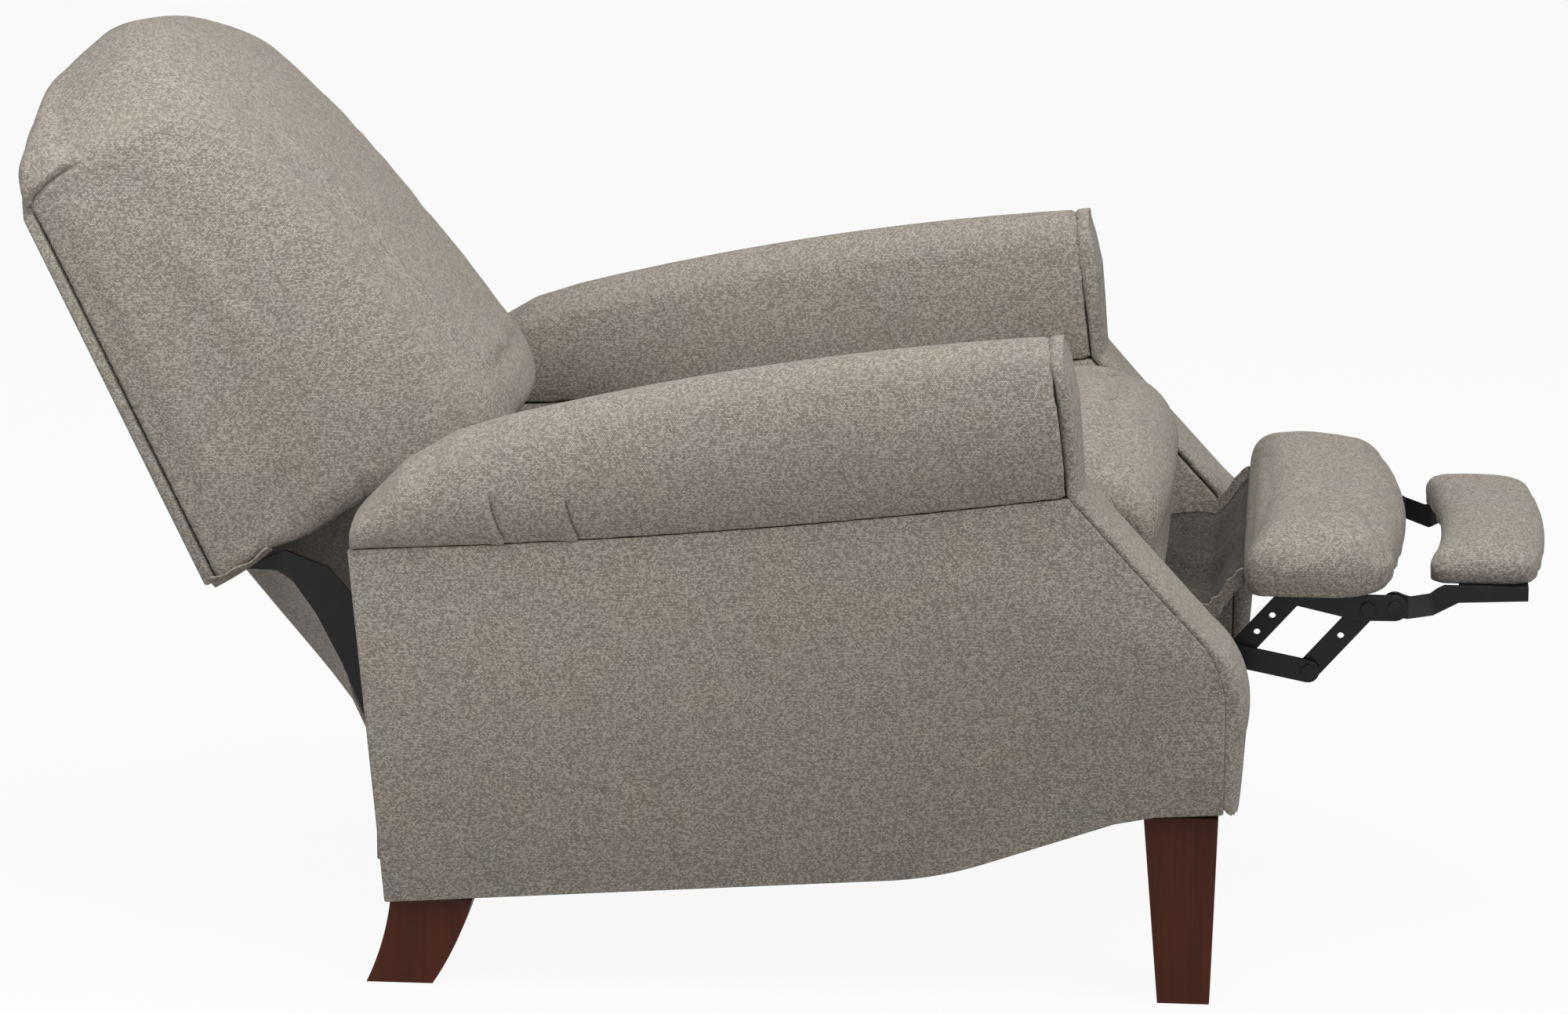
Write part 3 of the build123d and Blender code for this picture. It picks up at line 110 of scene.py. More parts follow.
class Finish:
    """One material, with its shader and a single way to add nodes."""

    def __init__(self, name, **fixed):
        """Values that stay the same all over go straight onto the shader."""
        self.material = bpy.data.materials.new(name)
        self.material.use_nodes = True
        self.tree = self.material.node_tree
        self.shader = self.tree.nodes["Principled BSDF"]
        for key, value in fixed.items():
            self.shader.inputs[key.replace("_", " ")].default_value = value

    def put(self, socket, value):
        """Links a shader value, or sets a plain one."""
        if isinstance(value, Value):
            self.tree.links.new(value.socket, socket)
        else:
            socket.default_value = value

    def add(self, kind, settings, sockets, out=0):
        """Adds one node and gives the value of one of its outputs."""
        node = self.tree.nodes.new("ShaderNode" + kind)
        for key, value in settings.items():
            if key == "stops":
                ramp = node.color_ramp
                while len(ramp.elements) < len(value):
                    ramp.elements.new(1.0)
                for element, (place, colour) in zip(ramp.elements, value):
                    element.position = place
                    element.color = (*colour, 1.0)
            else:
                setattr(node, key, value)
        for key, value in sockets.items():
            self.put(node.inputs[key], value)
        return Value(self, node.outputs[out])

    def parts(self, vector):
        """The three numbers of a vector."""
        node = self.tree.nodes.new("ShaderNodeSeparateXYZ")
        self.put(node.inputs[0], vector)
        return [Value(self, node.outputs[k]) for k in range(3)]

    def vector(self, x, y, z):
        return self.add("CombineXYZ", {}, {0: x, 1: y, 2: z})

    def place(self):
        return self.add("TexCoord", {}, {}, "Object")

    def grain(self, x, y, z, detail=2.0, rough=0.5):
        """Soft noise, with its own scale along each axis."""
        px, py, pz = self.parts(self.place())
        where = self.vector(px * x, py * y, pz * z)
        inputs = {"Vector": where, "Scale": 1.0, "Detail": detail, "Roughness": rough}
        return self.add("TexNoise", {}, inputs, "Fac")

    def tint(self, share, first, second):
        """A colour between two others."""
        return self.add("Mix", {"data_type": "RGBA"}, {0: share, 6: first, 7: second}, 2)

    def set(self, **varying):
        for key, value in varying.items():
            self.put(self.shader.inputs[key.replace("_", " ")], value)

    def bump(self, height, strength, distance):
        self.set(Normal=self.add("Bump", {}, {"Height": height, "Strength": strength, "Distance": distance}))


# The weave: size of a stitch, how long and how slanted it is, and how round across and along
STITCH = 1.5 * MM
STITCH_LENGTH = 1.3
STITCH_LEAN = 0.7
ROUND_ACROSS, ROUND_ALONG = 3.4, 3.2
# Shares of single stitches, slubs and the weave's height, painted in as shade (lighter on stitch tops, darker
# in the grooves), in the colour of the cloth
FLECK_SHARE, SLUB_SHARE, WEAVE_SHADE_SHARE, TONE_SHIFT = 0.42, 0.1, 0.4, 0.015
# Faint colour casts that drift over the cloth
WARM_CAST, COOL_CAST = (1.03, 0.99, 0.93, 1.0), (0.96, 0.945, 0.985, 1.0)


def weave(finish, across, along):
    """Fleck and height of one plane of a zigzag basket weave."""
    lift = along / STITCH
    row = lift.floor()
    turn = row.odd()
    run = across / (STITCH * STITCH_LENGTH) + turn * 0.5
    column = run.floor()
    where = finish.vector(column, row, 0.0)
    fleck = finish.add("TexWhiteNoise", {"noise_dimensions": "2D"}, {"Vector": where}, "Value")
    side = run - column - 0.5
    rise = lift - row - 0.5
    lean = side + rise * (STITCH_LEAN - 2 * STITCH_LEAN * turn)
    height = (1.0 - ROUND_ACROSS * lean * lean).held() * (1.0 - ROUND_ALONG * rise * rise)
    return fleck, height


def upholstery(name, dark, middle, light):
    """Heathered woven cloth, the same scale on every side of a piece."""
    finish = Finish(name, Roughness=0.92, Sheen_Weight=0.08, Sheen_Roughness=0.45, Specular_IOR_Level=0.15)
    x, y, z = finish.parts(finish.place())
    facing = finish.parts(finish.add("TexCoord", {}, {}, "Normal"))
    shares = [abs(part) ** 5.0 for part in facing]
    total = shares[0] + shares[1] + shares[2] + 0.0001
    fleck = height = None
    for share, (across, along) in zip(shares, ((y, z), (x, z), (y, x))):
        one_fleck, one_height = weave(finish, across, along)
        part = share / total
        fleck = one_fleck * part if fleck is None else fleck + one_fleck * part
        height = one_height * part if height is None else height + one_height * part
    slub = finish.grain(220.0, 220.0, 500.0)
    mottle = finish.grain(14.0, 14.0, 14.0, detail=3.0)
    # Painted shade of the weave: the height of the stitches goes into the colour, so stitch tops are lighter
    # and the grooves between them darker
    tone_and_weave_shade = fleck * FLECK_SHARE + slub * SLUB_SHARE + height * WEAVE_SHADE_SHARE - TONE_SHIFT
    stops = ((0.08, dark), (0.46, middle), (0.9, light))
    cloth = finish.add("ValToRGB", {"stops": stops}, {0: tone_and_weave_shade}, "Color")
    cast = finish.tint((mottle - 0.3) * 1.4, WARM_CAST, COOL_CAST)
    finish.set(Base_Color=finish.add("Mix", {"data_type": "RGBA", "blend_type": "MULTIPLY"},
                                     {0: 1.0, 6: cloth, 7: cast}, 2))
    finish.bump(height * 0.8 + slub * 0.3, strength=0.45, distance=0.6 * MM)
    return finish.material


def stained_wood(name, dark, light, gloss):
    """Close-grained wood with its grain upright."""
    finish = Finish(name, Roughness=gloss, Specular_IOR_Level=0.2, Coat_Weight=0.04, Coat_Roughness=0.3)
    broad = finish.grain(38.0, 38.0, 3.2, detail=3.0, rough=0.6)
    pores = finish.grain(420.0, 420.0, 9.0)
    wave = (broad * 0.65 + pores * 0.5 - 0.1).held()
    stain = finish.add("ValToRGB", {"stops": ((0.2, dark), (0.8, light))}, {0: wave}, "Color")
    finish.set(Base_Color=stain, Roughness=pores * 0.18 + gloss - 0.05)
    finish.bump(pores, strength=0.12, distance=0.3 * MM)
    return finish.material


def painted_steel(name, colour, worn):
    """Satin paint with a faint orange-peel and rubbed places."""
    finish = Finish(name, Roughness=0.45, Specular_IOR_Level=0.3)
    peel = finish.grain(900.0, 900.0, 900.0, detail=1.0)
    rub = finish.grain(24.0, 24.0, 24.0, detail=4.0, rough=0.65)
    finish.set(Base_Color=finish.tint(((rub - 0.52) * 2.2).held(), (*colour, 1.0), (*worn, 1.0)),
               Roughness=rub * 0.22 + 0.3)
    finish.bump(peel, strength=0.06, distance=0.2 * MM)
    return finish.material


def bare_steel(name, colour):
    """Drawn spring and bolt steel."""
    finish = Finish(name, Metallic=1.0, Roughness=0.35)
    draw = finish.grain(300.0, 300.0, 40.0)
    finish.set(Base_Color=finish.tint(draw, (*colour, 1.0), tuple(0.7 * part for part in colour) + (1.0,)),
               Roughness=draw * 0.25 + 0.25)
    return finish.material


def moulded_plastic(name, colour):
    """Finely textured plastic of the floor glides."""
    finish = Finish(name, Roughness=0.55)
    skin = finish.grain(700.0, 700.0, 700.0)
    finish.set(Base_Color=finish.tint(skin, (*colour, 1.0), tuple(1.6 * part for part in colour) + (1.0,)),
               Roughness=skin * 0.2 + 0.45)
    finish.bump(skin, strength=0.1, distance=0.2 * MM)
    return finish.material


taupe_cloth = upholstery("taupe_cloth", (0.112, 0.102, 0.0895), (0.247, 0.227, 0.2), (0.487, 0.461, 0.421))
# Painted shade: the front cloth is a darker cloth, made darker still to stand for the shadow in its trough
# under the seat
shaded_gusset_cloth = upholstery("shaded_gusset_cloth", (0.038, 0.0335, 0.029), (0.081, 0.0725, 0.063),
                          (0.165, 0.151, 0.134))
leg_wood = stained_wood("leg_wood", (0.038, 0.0079, 0.0027), (0.095, 0.0198, 0.0066), 0.5)
frame_wood = stained_wood("frame_wood", (0.15, 0.1, 0.06), (0.27, 0.19, 0.12), 0.6)
link_steel = painted_steel("link_steel", (0.006, 0.006, 0.0065), (0.018, 0.018, 0.019))
spring_steel = bare_steel("spring_steel", (0.5, 0.5, 0.5))
glide_plastic = moulded_plastic("glide_plastic", (0.02, 0.02, 0.02))


# Carried-over hard pieces

WELD_GAP = 0.01 * MM
CORNER = radians(40.0)


def turn_edges(piece, edge, segments, flat_angle):
    """Joins the flat faces of a solid's mesh and rounds its corners."""
    weld = piece.modifiers.new("weld", "WELD")
    weld.merge_threshold = WELD_GAP
    flat = piece.modifiers.new("flat", "DECIMATE")
    flat.decimate_type = "DISSOLVE"
    flat.angle_limit = radians(flat_angle)
    turned = piece.modifiers.new("turned", "BEVEL")
    turned.width = edge
    turned.segments = segments
    turned.limit_method = "ANGLE"
    turned.angle_limit = CORNER
    piece.modifiers.new("shade", "WEIGHTED_NORMAL")


def dress(names, material, edge):
    """Gives hard pieces their finish and a small rounded edge."""
    for name in names:
        node = nodes[name]
        node.data.materials.clear()
        node.data.materials.append(material)
        turn_edges(node, edge, segments=2, flat_angle=1.0)


both = ("right", "left")
dress([leg + "_" + word for leg in ("front_leg", "rear_leg") for word in both], leg_wood, 2.2 * MM)
dress(["arm_boards", "arm_posts", "front_base_rail", "rear_base_rail", "mounting_rails", "seat_frame",
       "back_frame", "footrest_board", "extension_board"], frame_wood, 1.0 * MM)
dress(["mechanism_plates", "base_pivot_pins", "front_swing_links", "rear_swing_links", "seat_brackets",
       "seat_pivot_pins", "back_bracket_right", "back_bracket_left", "back_links", "drive_links",
       "long_link_right", "long_link_left", "long_link_pins", "control_links", "control_pins",
       "rear_lift_links", "front_lift_links", "footrest_brackets", "footrest_pins", "extension_brackets"],
      link_steel, 0.5 * MM)
dress(["leg_bolts", "plate_bolts", "seat_springs", "back_springs"], spring_steel, 0.2 * MM)
dress(["floor_glides"], glide_plastic, 0.6 * MM)


# Soft pieces

def points(piece):
    flat = np.zeros(3 * len(piece.data.vertices), np.float32)
    piece.data.vertices.foreach_get("co", flat)
    return flat.reshape(-1, 3).astype(float)


def set_points(piece, places):
    piece.data.vertices.foreach_set("co", places.astype(np.float32).ravel())
    piece.data.update()


def normals(piece):
    flat = np.zeros(3 * len(piece.data.vertices), np.float32)
    piece.data.vertex_normals.foreach_get("vector", flat)
    return flat.reshape(-1, 3).astype(float)


def finder(places):
    """A search tree for the nearest of some places."""
    tree = KDTree(len(places))
    for k, place in enumerate(places):
        tree.insert(place, k)
    tree.balance()
    return tree


def ease(share):
    """A soft step from 0 to 1."""
    share = np.clip(share, 0.0, 1.0)
    return share * share * (3 - 2 * share)


def step_up(values, start, length):
    """A soft step from 0 to 1 that begins at a start and is over after a length."""
    return ease((values - start) / length)


def shade_smooth(mesh):
    mesh.polygons.foreach_set("use_smooth", [True] * len(mesh.polygons))


def settle(piece):
    """Applies a piece's modifiers and shades it smooth."""
    graph = bpy.context.evaluated_depsgraph_get()
    mesh = bpy.data.meshes.new_from_object(piece.evaluated_get(graph))
    piece.modifiers.clear()
    piece.data = mesh
    shade_smooth(mesh)


def copy_solid(node, name):
    """A new piece with its own copy of a CAD solid's mesh."""
    piece = bpy.data.objects.new(name, nodes[node].data.copy())
    scene.collection.objects.link(piece)
    return piece


def clothe(piece, node):
    """Finishes the mesh of a cover, gives it its cloth and lets it replace its solid."""
    settle(piece)
    piece.data.materials.clear()
    piece.data.materials.append(taupe_cloth)
    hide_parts(node)
    return piece


def soft_copy(node, name, grid):
    """A cover with an even quad mesh over the outside of a CAD solid."""
    piece = copy_solid(node, name)
    even = piece.modifiers.new("even", "REMESH")
    even.mode = "VOXEL"
    even.voxel_size = grid
    return clothe(piece, node)


def sewn_panel(node, name, edge):
    """A cover for a thin flat pad: the solid's own faces with their edges turned over."""
    piece = copy_solid(node, name)
    turn_edges(piece, edge, segments=4, flat_angle=0.6)
    return clothe(piece, node)


def bump_out(piece, middle, reach, height, along=None):
    """Pushes the cloth out round one place, along its own normal or a given way."""
    places = points(piece)
    away = np.linalg.norm(places - np.array(middle), axis=1)
    way = normals(piece) if along is None else np.array(along)
    set_points(piece, places + way * (height * np.exp(-(away / reach) ** 2))[:, None])


# Steps in and out of one round of relaxing
RELAX_IN, RELAX_OUT = 0.5, -0.53


def relax(piece, rounds):
    """Evens out the small steps of a mesh without shrinking it."""
    places = points(piece)
    pairs = np.zeros(2 * len(piece.data.edges), np.int32)
    piece.data.edges.foreach_get("vertices", pairs)
    a, b = pairs.reshape(-1, 2).T
    count = np.bincount(pairs, minlength=len(places))[:, None]
    for k in range(2 * rounds):
        total = np.zeros_like(places)
        np.add.at(total, a, places[b])
        np.add.at(total, b, places[a])
        places += (total / count - places) * (RELAX_OUT if k % 2 else RELAX_IN)
    set_points(piece, places)


# Sewn edges of a solid: sharper than this, and marked this far apart
SEWN_ANGLE = radians(35.0)
MARK_STEP = 4 * MM


def draw_in(piece, node, depth, reach):
    """Pulls the cover in along the sewn edges of its solid, so that it swells between them."""
    shape = bmesh.new()
    shape.from_mesh(nodes[node].data)
    bmesh.ops.remove_doubles(shape, verts=shape.verts, dist=WELD_GAP)
    marks = []
    for edge in shape.edges:
        if len(edge.link_faces) == 2 and edge.calc_face_angle() > SEWN_ANGLE:
            a, b = edge.verts[0].co, edge.verts[1].co
            steps = max(1, int((b - a).length / MARK_STEP))
            marks += [a.lerp(b, k / steps) for k in range(steps + 1)]
    shape.free()
    near = finder(marks)
    places = points(piece)
    away = np.array([near.find(place)[2] for place in places])
    set_points(piece, places - normals(piece) * (depth * (1 - ease(away / reach)))[:, None])


# The simulated cloth of a filled cover, and how many frames it swells for
FILLED_CLOTH = {"quality": 4, "mass": 0.3, "tension_stiffness": 10, "compression_stiffness": 10,
                "shear_stiffness": 4, "bending_stiffness": 2, "use_pressure": True,
                "uniform_pressure_force": 4.0, "vertex_group_mass": "held"}
FILL_FRAMES = 20


def fill_pad(piece, held, inset, cap, proud=2 * MM, sink=8 * MM):
    """Fills a cover: draws it in, swells it in a short cloth simulation and keeps it near its pattern."""
    pattern = points(piece)
    out = normals(piece)
    fixed = held(pattern)
    set_points(piece, pattern - out * inset * ~fixed[:, None])
    group = piece.vertex_groups.new(name="held")
    group.add([int(k) for k in np.nonzero(fixed)[0]], 1.0, "ADD")
    cloth = piece.modifiers.new("filling", "CLOTH")
    for key, value in FILLED_CLOTH.items():
        setattr(cloth.settings, key, value)
    cloth.settings.effector_weights.gravity = 0
    cloth.collision_settings.use_collision = False
    cloth.point_cache.frame_end = FILL_FRAMES
    for step in range(1, FILL_FRAMES + 1):
        scene.frame_set(step)
    graph = bpy.context.evaluated_depsgraph_get()
    swollen = points(piece.evaluated_get(graph))
    piece.modifiers.remove(cloth)
    piece.vertex_groups.clear()
    scene.frame_set(1)
    move = swollen - pattern
    length = np.linalg.norm(move, axis=1)[:, None] + 1e-9
    move *= np.minimum(1.0, cap / length)
    rise = (move * out).sum(1)
    move -= out * (np.maximum(rise - proud, 0.0) + np.minimum(rise + sink, 0.0))[:, None]
    set_points(piece, pattern + move)


# Creases: step along the line, edge lengths of the finer mesh beside it, how far mesh, lap and
# effect reach in widths of the crease, and the share of its length over which it runs out
CREASE_STEP = 1.0 * MM
CREASE_MESH = (2.2 * MM, 1.1 * MM)
MESH_REACH, LAP_REACH, CREASE_REACH = 4, 4, 9
CREASE_FADE = 0.25


def crease(piece, line, side, width, dip, lip):
    """Sews a crease along a line: the cloth dips at it and laps over it from one side."""
    line = [Vector(p) for p in line]
    fine = []
    for a, b in zip(line, line[1:]):
        steps = max(2, int((b - a).length / CREASE_STEP))
        fine += [a.lerp(b, k / steps) for k in range(steps)]
    fine = [piece.closest_point_on_mesh(p)[1] for p in fine + [line[-1]]]
    near = finder(fine)
    shape = bmesh.new()
    shape.from_mesh(piece.data)
    for limit in CREASE_MESH:
        close = [e for e in shape.edges if e.calc_length() > limit
                 and near.find((e.verts[0].co + e.verts[1].co) / 2)[2] < MESH_REACH * width]
        bmesh.ops.subdivide_edges(shape, edges=close, cuts=1, use_grid_fill=True)
    shape.normal_update()
    side = Vector(side).normalized()
    moved = []
    for vert in shape.verts:
        spot, k, away = near.find(vert.co)
        if away > CREASE_REACH * width:
            continue
        fade = min(1.0, (1 - k / (len(fine) - 1)) / CREASE_FADE)
        over = (vert.co - spot).dot(side)
        fall = dip * exp(-(away / width) ** 2)
        lift = lip * exp(-(away / (LAP_REACH * width)) ** 2) if over > 0 else 0.0
        moved.append((vert, vert.normal * (lift - fall) * fade))
    for vert, step in moved:
        vert.co += step
    shape.to_mesh(piece.data)
    shape.free()
    shade_smooth(piece.data)


def seam_in(piece, other, reach, depth):
    """Draws a cover in where it is sewn to another, so that the seam shows as a groove."""
    tree = finder(points(other))
    places = points(piece)
    near = np.array([tree.find(place)[2] for place in places])
    set_points(piece, places - normals(piece) * (depth * ease(1 - near / reach))[:, None])


def refine(piece):
    fine = piece.modifiers.new("fine", "SUBSURF")
    fine.levels = 1
    fine.render_levels = 1
    settle(piece)


def show(piece, body):
    """Hangs a finished pad on its body."""
    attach(piece, body)


# Arms: sewn panels with the turn of their edges, and the two pleats on the outside of a roll, in millimetres
ARM_PANELS = (("arm_outer_panel_", "arm_side_cover_", 2.0), ("arm_inner_pad_", "arm_inner_cover_", 4.0),
              ("arm_rear_strip_", "arm_rear_cover_", 2.5))
ROLL_OUTSIDE = 354
ROLL_PLEATS = (((236.5, 450), (241, 462), (246.5, 481), (250, 499)),
               ((165, 452), (169.5, 465), (174, 481), (177, 497)))
# Front facing: how far its rear side is pushed to the seam and fills up between its edges,
# how high its foot hangs and where it begins to hang, and its swelling at depths below its top
FACING_SEAM, FACING_FULL = 1.2 * MM, 4.0 * MM
FACING_FOOT, FACING_HANG = 194 * MM, 216 * MM
FACING_DOWN = np.array((0, 30, 60, 95, 130, 180)) * MM
FACING_OUT = np.array((-5.0, 1.0, 4.5, 3.5, 2.0, 0.0)) * MM


def arm_roll(side, word):
    """The padded roll on top of an arm."""
    roll = soft_copy("arm_roll_" + word, "arm_roll_cover_" + word, 3.2 * MM)
    relax(roll, 3)
    draw_in(roll, "arm_roll_" + word, depth=0.8 * MM, reach=14 * MM)
    for pleat in ROLL_PLEATS:
        line = [(side * ROLL_OUTSIDE * MM, y * MM, z * MM) for y, z in pleat]
        crease(roll, line, (0, 1, 0), width=3.2 * MM, dip=3.4 * MM, lip=3.0 * MM)
    return roll


def arm_facing(word):
    """The narrow padded front of an arm, up against the roll and drawn up at its foot."""
    facing = soft_copy("arm_front_facing_" + word, "arm_facing_cover_" + word, 2.6 * MM)
    relax(facing, 4)
    places = points(facing)
    rear = np.clip(normals(facing)[:, 1], 0, 1)
    places[:, 1] += FACING_SEAM * step_up(rear, 0.3, 0.4)
    middle_x = (places[:, 0].min() + places[:, 0].max()) / 2
    half_x = places[:, 0].max() - middle_x
    from_edge = half_x - np.abs(places[:, 0] - middle_x)
    places[:, 1] += FACING_FULL * step_up(from_edge, 5 * MM, 7 * MM) * step_up(rear, 0.6, 0.3)
    lowest = places[:, 2].min()
    hanging = places[:, 2] < FACING_HANG
    shrink = (places[hanging, 2] - lowest) * (FACING_HANG - FACING_FOOT) / (FACING_HANG - lowest)
    places[hanging, 2] = FACING_FOOT + shrink
    set_points(facing, places)
    top = places[np.argmax(places[:, 2])]
    bump_out(facing, top, reach=12 * MM, height=2 * MM, along=(0, 0, 1))
    places = points(facing)
    below = places[:, 2].max() - places[:, 2]
    front = step_up(-normals(facing)[:, 1], 0.1, 0.5)
    places[:, 1] -= np.interp(below, FACING_DOWN, FACING_OUT) * front
    set_points(facing, places)
    return facing


for side, word in ((-1, "right"), (1, "left")):
    for node, name, edge in ARM_PANELS:
        show(sewn_panel(node + word, name + word, edge * MM), "base")
    roll = arm_roll(side, word)
    facing = arm_facing(word)
    seam_in(roll, facing, reach=6 * MM, depth=2.6 * MM)
    show(roll, "base")
    show(facing, "base")

show(sewn_panel("rear_base_panel", "rear_base_cover", 2 * MM), "base")

# Seat: held up to this height, where it sits on its frame, and free above; sat in toward the back by one
# depth and full at the front by another, a little less at its sides
SEAT_HELD = 402 * MM
SEAT_SAT, SEAT_FULL = 16 * MM, 16 * MM
SEAT_HALF = 200 * MM


def on_seat_frame(places):
    return places[:, 2] < SEAT_HELD


seat = soft_copy("seat_cushion", "seat_cover", 7 * MM)
relax(seat, 3)
fill_pad(seat, on_seat_frame, inset=5 * MM, cap=26 * MM)
relax(seat, 2)
places = points(seat)
sat_in = step_up(places[:, 1], -60 * MM, 160 * MM) * step_up(places[:, 2], 420 * MM, 50 * MM)
set_points(seat, places - np.array((0, 0, SEAT_SAT)) * sat_in[:, None])
places = points(seat)
full = step_up(-places[:, 1], 160 * MM, 130 * MM) * step_up(places[:, 2], 405 * MM, 60 * MM)
full *= 1 - 0.5 * np.clip(np.abs(places[:, 0]) / SEAT_HALF, 0, 1) ** 3
set_points(seat, places + normals(seat) * (SEAT_FULL * full)[:, None])
refine(seat)
show(seat, "seat")

# Back: its own axes, with u up the back and v out of it
tilt = radians(25.0)
foot = np.array((0.0, 547.2 * MM, 365.6 * MM))
up_back = np.array((0.0, sin(tilt), cos(tilt)))
out_back = np.array((0.0, -cos(tilt), sin(tilt)))
# The pocket round the frame, the half width, how far the sides draw in and the foot hangs down
POCKET_DEPTH, POCKET_HALF = 56 * MM, 222 * MM
BACK_HALF = 232
BACK_TAPER, BACK_HANG = 11 * MM, 11 * MM
# How far the lower front comes forward at each height up the back
LUMBAR_UP = np.array((-10, 40, 90, 135, 210)) * MM
LUMBAR_OUT = np.array((33, 28, 14, 7, 0)) * MM
# The pleat at each shoulder, and the middle of the fullness above it, in millimetres
SHOULDER_PLEAT = ((408, 6), (414, 16), (422, 36), (428, 58), (431, 80))
SHOULDER_FULL = (228, 436, 34)


def on_back(x, u, v):
    """A point of the back from its own axes, in millimetres."""
    return tuple(np.array((x * MM, 0, 0)) + foot + up_back * u * MM + out_back * v * MM)


def back_frame_side(places):
    """The hidden parts of the back's cover: its rear face and the pocket round the frame."""
    depth = (places - foot) @ out_back
    return (depth < POCKET_DEPTH) & (np.abs(places[:, 0]) < POCKET_HALF)


back = soft_copy("back_cushion", "back_cover", 6 * MM)
relax(back, 4)
fill_pad(back, back_frame_side, inset=5 * MM, cap=28 * MM, proud=3 * MM, sink=2.5 * MM)
relax(back, 6)
places = points(back)
depth = (places - foot) @ out_back
wide = np.abs(places[:, 0])
taper = BACK_TAPER * step_up(depth, 30 * MM, 110 * MM) * step_up(wide, 150 * MM, 70 * MM)
places[:, 0] -= np.sign(places[:, 0]) * taper
lumbar = np.interp((places - foot) @ up_back, LUMBAR_UP, LUMBAR_OUT) * step_up(depth, 150 * MM, 120 * MM)
lumbar *= 1 - 0.5 * (wide / (BACK_HALF * MM)) ** 2
places += out_back * lumbar[:, None]
under = step_up(-(normals(back) @ up_back), 0.4, 0.4) * step_up(depth, 60 * MM, 60 * MM)
under *= 1 - step_up(depth, 190 * MM, 60 * MM)
places -= up_back * (BACK_HANG * under)[:, None]
set_points(back, places)
refine(back)
for side in (-1, 1):
    x, u, v = SHOULDER_FULL
    bump_out(back, on_back(side * x, u, v), reach=32 * MM, height=5 * MM)
    pleat = [on_back(side * BACK_HALF, u, v) for u, v in SHOULDER_PLEAT]
    crease(back, pleat, up_back, width=3.0 * MM, dip=6.0 * MM, lip=5.0 * MM)
show(back, "back")

show(sewn_panel("outside_back_panel", "outside_back_cover", 3.5 * MM), "back")

# Footrest pads: each with its body and the top of its board, in millimetres; a cover is held from its
# bottom up to a height, and inside an edge also up to a little above the board
FOOT_PADS = (("footrest_pad", "footrest_cover", "footrest", 409),
             ("extension_pad", "extension_cover", "extension", 389))
HELD_BOTTOM, HELD_EDGE = 3 * MM, 16 * MM
ABOVE_BOARD = 2


def round_board(low, high, board_top):
    """A test for the points of a pad's cover that are held round the pocket for its board."""
    def held(places):
        inside = np.abs(places[:, 0]) < high.x - HELD_EDGE
        inside &= (places[:, 1] > low.y + HELD_EDGE) & (places[:, 1] < high.y - HELD_EDGE)
        in_pocket = (places[:, 2] < (board_top + ABOVE_BOARD) * MM) & inside
        return in_pocket | (places[:, 2] < low.z + HELD_BOTTOM)
    return held


for node, name, body, board_top in FOOT_PADS:
    pad = soft_copy(node, name, 5 * MM)
    relax(pad, 3)
    low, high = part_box(node)
    fill_pad(pad, round_board(low, high, board_top), inset=4 * MM, cap=22 * MM)
    relax(pad, 2)
    refine(pad)
    show(pad, body)


# Cloth sheets: their thickness, then the sizes of each in millimetres

SHEET_THICK = 2.0 * MM


def cloth_grid(name, rows, columns, place, material):
    """A sheet of cloth from a function of its two shares, across and along."""
    verts = [place(c / (columns - 1), r / (rows - 1)) for r in range(rows) for c in range(columns)]
    faces = [(r * columns + c, r * columns + c + 1, (r + 1) * columns + c + 1, (r + 1) * columns + c)
             for r in range(rows - 1) for c in range(columns - 1)]
    mesh = bpy.data.meshes.new(name)
    mesh.from_pydata(verts, [], faces)
    sheet = bpy.data.objects.new(name, mesh)
    scene.collection.objects.link(sheet)
    sheet.data.materials.append(material)
    thick = sheet.modifiers.new("thick", "SOLIDIFY")
    thick.thickness = SHEET_THICK
    thick.offset = 0.0
    settle(sheet)
    return sheet


def soft_share(value, start, length):
    return float(step_up(value, start, length))


# Hem under the back: half width, first depth and run, drop, slope and sag, and the turned-up ends
HEM_HALF, HEM_FIRST, HEM_RUN = 232.5, 7, 68
HEM_DROP, HEM_SLOPE, HEM_SAG = 7, 0.171, 2.0
HEM_FLARE, HEM_RIPPLE = 1.2, 1.2
HEM_TURN_REAR, HEM_TURN = 8, 5


def back_hem_place(across, along):
    """Hem under the back: it covers the foot of the frame and turns up round the edges."""
    share = across * 2 - 1
    turned = soft_share(abs(share), 0.94, 0.06)
    v = HEM_FIRST + HEM_RUN * along
    u = -HEM_DROP + HEM_SLOPE * v - HEM_SAG * sin(pi * along) + HEM_RIPPLE * sin(along * 13 + 2) * turned
    u += (HEM_TURN + HEM_TURN_REAR * (1 - along) ** 2) * turned
    return on_back(share * HEM_HALF + (HEM_FLARE if share > 0 else -HEM_FLARE) * turned, u, v)


back_hem = cloth_grid("back_hem_cloth", rows=26, columns=120, place=back_hem_place, material=taupe_cloth)
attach(back_hem, "back")


# Front cloth: half width, the flare of its ends and where their plain, paler cloth begins and the painted
# shade of the trough stops, its rear and front lines, the height of its rim with two rises, the depth of its
# trough, and the folds in it and at its ends
GUSSET_HALF, GUSSET_FLARE = 200, 3.5
GUSSET_SHADE_EDGE = 200.5
GUSSET_REAR, GUSSET_FRONT = -366, -463.5
RIM_HEIGHT, RIM_RISE, RIM_END_RISE = 354, 12, 36
TROUGH_ENDS, TROUGH_MIDDLE, TROUGH_FALL = 6, 30, 8
FOLD_BROAD, FOLD_FINE = 8.0, 4.5
SCRUNCH_BROAD, SCRUNCH_FINE, SCRUNCH_NEAR, SCRUNCH_FAR = 1.2, 0.8, 1.3, 0.5


